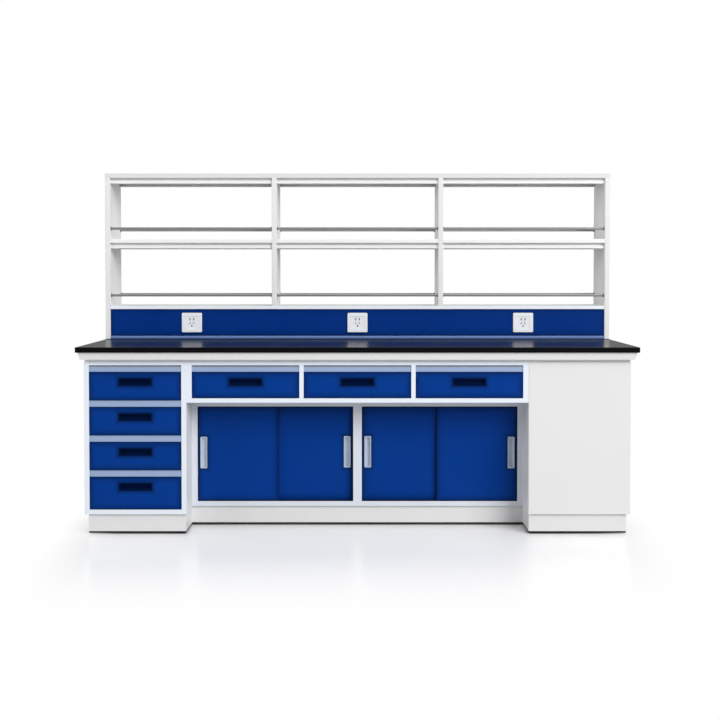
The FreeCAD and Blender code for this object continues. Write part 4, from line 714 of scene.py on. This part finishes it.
def make_joint_covers():
    """Folded cover strips, riveted over the joints between the cases at the back."""
    covers, rivets = bmesh.new(), bmesh.new()
    wide, thick, fold = 34 * MM, 1.2 * MM, 1.6 * MM
    outline = [(-wide / 2, 0), (wide / 2, 0), (wide / 2, thick - 0.4 * MM), (wide / 2 - fold, thick),
               (-wide / 2 + fold, thick), (-wide / 2, thick - 0.4 * MM)]
    (left, _, joint), (right, _, _) = BOX["apron_case"]
    low, top, margin = CASE_FLOOR + 4 * MM, CASE_TOP - 2 * MM, 14 * MM
    for x, end in ((left, top), (0.0, joint - wide / 2), (right, top)):
        slab(covers, outline, low, end, at((x, CASE_BACK, 0)))
        for z in spread(low + margin, end - margin, 6):
            rivet_head(rivets, at((x, CASE_BACK + thick, z), "+y"), 2.4 * MM)
    ends = (left + wide / 2, right - wide / 2)
    slab(covers, outline, *ends, at((0, CASE_BACK, joint), "+x"))
    for x in spread(ends[0] + margin, ends[1] - margin, 11):
        rivet_head(rivets, at((x, CASE_BACK + thick, joint), "+y"), 2.4 * MM)
    finish_piece("joint_covers", covers, ZINC, sharp=20)
    finish_piece("joint_cover_rivets", rivets, STEEL)


def make_rack_screws():
    """Button-head screws through the rack's ends into its boards, and low down into the raceway."""
    screws = bmesh.new()
    radius, dome = 4.6 * MM, 2.2 * MM
    for name, direction, side in (("rack_end_left", "-x", 0), ("rack_end_right", "+x", 1)):
        outer = BOX[name][side][0]
        for board in ("rack_top_board", "rack_mid_boards"):
            z = BOX[board][0][2] + 8 * MM
            for y in (RACK_FACE + 32 * MM, (RACK_FACE + REAR) / 2, REAR - 32 * MM):
                screw_head(screws, at((outer, y, z), direction), radius, dome)
        for y in (RACK_FACE + 20 * MM, REAR - 20 * MM):
            screw_head(screws, at((outer, y, DECK + 25 * MM), direction), radius, dome)
    finish_piece("rack_end_screws", screws, STEEL)


def add_louvre(shape, x, z):
    """A louvre pressed in the raceway's back, deepest below, with ends that run out into the sheet."""
    half, rise, deep, sunk = 32 * MM, 7 * MM, 3.2 * MM, 0.6 * MM
    profile = [(0, -sunk), (rise, -sunk), (rise, 0.0), (0.8 * MM, deep), (0, deep - 0.4 * MM)]
    rings = []
    for share in spread(-1.0, 1.0, 9):
        swell = max(0.1, math.sqrt(1 - share ** 6))
        rings.append([shape.verts.new((x + half * share, REAR - sunk + (out + sunk) * swell, z + up))
                      for up, out in profile])
    for first, second in zip(rings, rings[1:]):
        for corner in range(len(profile)):
            after = (corner + 1) % len(profile)
            shape.faces.new((first[corner], first[after], second[after], second[corner]))
    shape.faces.new(rings[0])
    shape.faces.new(rings[-1][::-1])


def make_raceway_back():
    """Louvres in the raceway's back behind each socket, and a closed cable grommet near its right end."""
    low, high = BOX["raceway_housing"]
    louvres = bmesh.new()
    for x in SOCKETS:
        for row in (-2, -1, 0, 1, 2):
            add_louvre(louvres, x, (low[2] + high[2]) / 2 + row * 14 * MM)
    finish_piece("raceway_louvres", louvres, LIP_PAINT, sharp=40)
    grommet = bmesh.new()
    profile = in_mm((0, -0.5), (19, -0.5), (19, 0.8), (18, 1.8), (13.5, 3.4), (12.5, 3.2), (12.5, 1.0),
                    (3.2, 1.6), (2.6, 0.4), (0, 0.4))
    turned(grommet, profile, at((high[0] - 60 * MM, REAR, low[2] + 40 * MM), "+y"), 40)
    finish_piece("raceway_grommet", grommet, BLACK_PLASTIC, sharp=28)


make_feet()
make_guard_rails()
make_raceway_trim()
make_socket_parts()
for drawer in DRAWERS:
    make_drawer_parts(drawer)
make_drawer_seals()
make_door_seals()
make_case_trim()
make_plinth_seals()
make_back_rivets()
make_joint_covers()
make_raceway_back()
make_rack_screws()


# ---------------------------------------------------------------- studio

ROOM = (0.24, 1.15)         # strength of the room's light from the front and from the back
ROOM_TURN = (-0.3, 0.6)     # it changes between the directions with these Y
SHINE = (0.04, 0.45)        # the same for what shiny surfaces reflect
SHINE_TURN = (-0.9, 0.5)
FLOOR_HALF = (1.06, 0.30)   # half size of the rectangle round the bench where the floor is fully painted
FLOOR_FADE = 1.2            # how far beyond it the floor has turned white, in Y
FLOOR_STRETCH = 3.6         # how much sooner it does so in X
FLOOR_GLOW = 0.56           # strength of the white part for light that falls on the bench
FLOOR_SHINE = 0.07          # strength of the floor in reflections
EYE = (0.0, -4.6209, 1.1839)
LOOK_DOWN = 1.295           # degrees
LENS, SENSOR = 47.72, 36.0  # millimetres
LENS_SHIFT = (0.0035, -0.0916)


def make_floor():
    """A pale polished floor that turns into the white background away from the bench."""
    mesh = bpy.data.meshes.new("studio_floor")
    half = 30.0
    corners = [(-half, -half, 0), (half, -half, 0), (half, half, 0), (-half, half, 0)]
    mesh.from_pydata(corners, [], [(0, 1, 2, 3)])
    floor = bpy.data.objects.new("studio_floor", mesh)
    bpy.context.scene.collection.objects.link(floor)
    paint = Recipe("studio_floor", Specular_IOR_Level=0.5)
    ray = paint.add("ShaderNodeLightPath").outputs
    wear = paint.ramp(paint.noise(0.6, 2.0), 0.0, 1.0)
    worn = paint.blend(wear, (0.92, 0.92, 0.92, 1), (0.905, 0.905, 0.905, 1))
    paint.colour(paint.blend(ray["Is Camera Ray"], (0.60, 0.60, 0.60, 1), worn))
    paint.roughness(paint.ramp(paint.noise(0.9, 2.0), 0.16, 0.22))

    def glowing(strength):
        inputs = {"Color": (1, 1, 1, 1), "Strength": strength}
        return paint.add("ShaderNodeEmission", inputs).outputs["Emission"]

    def mixed(share, first, second):
        return paint.add("ShaderNodeMixShader", {0: share, 1: first, 2: second}).outputs["Shader"]

    def vector(operation, *inputs):
        return paint.add("ShaderNodeVectorMath", dict(enumerate(inputs)), operation=operation).outputs

    aside = vector("ABSOLUTE", paint.place)["Vector"]
    beyond = vector("MAXIMUM", vector("SUBTRACT", aside, (*FLOOR_HALF, 0))["Vector"], (0, 0, 0))["Vector"]
    away = vector("LENGTH", vector("MULTIPLY", beyond, (FLOOR_STRETCH, 1.0, 0))["Vector"])["Value"]
    share = paint.add("ShaderNodeMapRange", {"Value": away, "From Min": 0.0, "From Max": FLOOR_FADE},
                      interpolation_type="SMOOTHSTEP").outputs["Result"]
    far = glowing(paint.ramp(ray["Is Camera Ray"], FLOOR_GLOW, 1.0, 0.0, 1.0))
    seen = mixed(share, paint.shader.outputs["BSDF"], far)
    whole = mixed(ray["Is Glossy Ray"], seen, glowing(FLOOR_SHINE))
    paint.feed(paint.tree.nodes["Material Output"].inputs["Surface"], whole)
    floor.data.materials.append(paint.material)


def make_world():
    """A white room; its reflection is dark towards the front, so that painted faces keep their depth."""
    world = bpy.data.worlds.new("studio")
    bpy.context.scene.world = world
    world.use_nodes = True
    tree = world.node_tree
    seen = tree.nodes["Background"]
    seen.inputs["Color"].default_value = (1, 1, 1, 1)
    seen.inputs["Strength"].default_value = 1.0
    split = tree.nodes.new("ShaderNodeSeparateXYZ")
    tree.links.new(tree.nodes.new("ShaderNodeTexCoord").outputs["Generated"], split.inputs["Vector"])
    ray = tree.nodes.new("ShaderNodeLightPath").outputs

    def lit(strengths, turn):
        """Light whose strength goes between two values as its direction turns from front to back."""
        span, light = tree.nodes.new("ShaderNodeMapRange"), tree.nodes.new("ShaderNodeBackground")
        for socket, value in zip(("From Min", "From Max", "To Min", "To Max"), (*turn, *strengths)):
            span.inputs[socket].default_value = value
        tree.links.new(split.outputs["Y"], span.inputs["Value"])
        tree.links.new(span.outputs["Result"], light.inputs["Strength"])
        return light.outputs["Background"]

    def choose(share, first, second):
        mix = tree.nodes.new("ShaderNodeMixShader")
        for source, socket in ((share, "Fac"), (first, 1), (second, 2)):
            tree.links.new(source, mix.inputs[socket])
        return mix.outputs["Shader"]

    falling = choose(ray["Is Glossy Ray"], lit(ROOM, ROOM_TURN), lit(SHINE, SHINE_TURN))
    whole = choose(ray["Is Camera Ray"], falling, seen.outputs["Background"])
    tree.links.new(whole, tree.nodes["World Output"].inputs["Surface"])


def make_light(name, place, aim, power, width, height):
    """A soft rectangular lamp in watts, which the camera doesn't see."""
    lamp = bpy.data.lights.new(name, "AREA")
    lamp.shape = "RECTANGLE"
    lamp.size = width
    lamp.size_y = height
    lamp.energy = power
    made = bpy.data.objects.new(name, lamp)
    bpy.context.scene.collection.objects.link(made)
    made.visible_camera = False
    made.location = place
    made.rotation_euler = (Vector(aim) - Vector(place)).to_track_quat("-Z", "Y").to_euler()


def make_camera():
    """The photo's viewpoint, 4.6 m from the bench's middle and level with the rack's lower bays."""
    lens = bpy.data.cameras.new("camera")
    lens.sensor_width = SENSOR
    lens.lens = LENS
    lens.shift_x, lens.shift_y = LENS_SHIFT
    camera = bpy.data.objects.new("camera", lens)
    bpy.context.scene.collection.objects.link(camera)
    camera.location = EYE
    camera.rotation_euler = (math.radians(90 - LOOK_DOWN), 0, 0)
    bpy.context.scene.camera = camera


make_floor()
make_world()
make_light("key", (6.9, -8.0, 6.6), aim=(0.0, 0.0, 0.6), power=1270, width=8.0, height=7.0)
make_light("fill", (-7.0, -2.8, 3.4), aim=(0.0, 0.0, 1.0), power=175, width=4.0, height=3.0)
make_light("top", (0.0, -1.2, 4.8), aim=(0.0, -1.0, 0.0), power=48, width=4.5, height=2.5)
make_camera()
bpy.context.scene.view_settings.view_transform = "Standard"
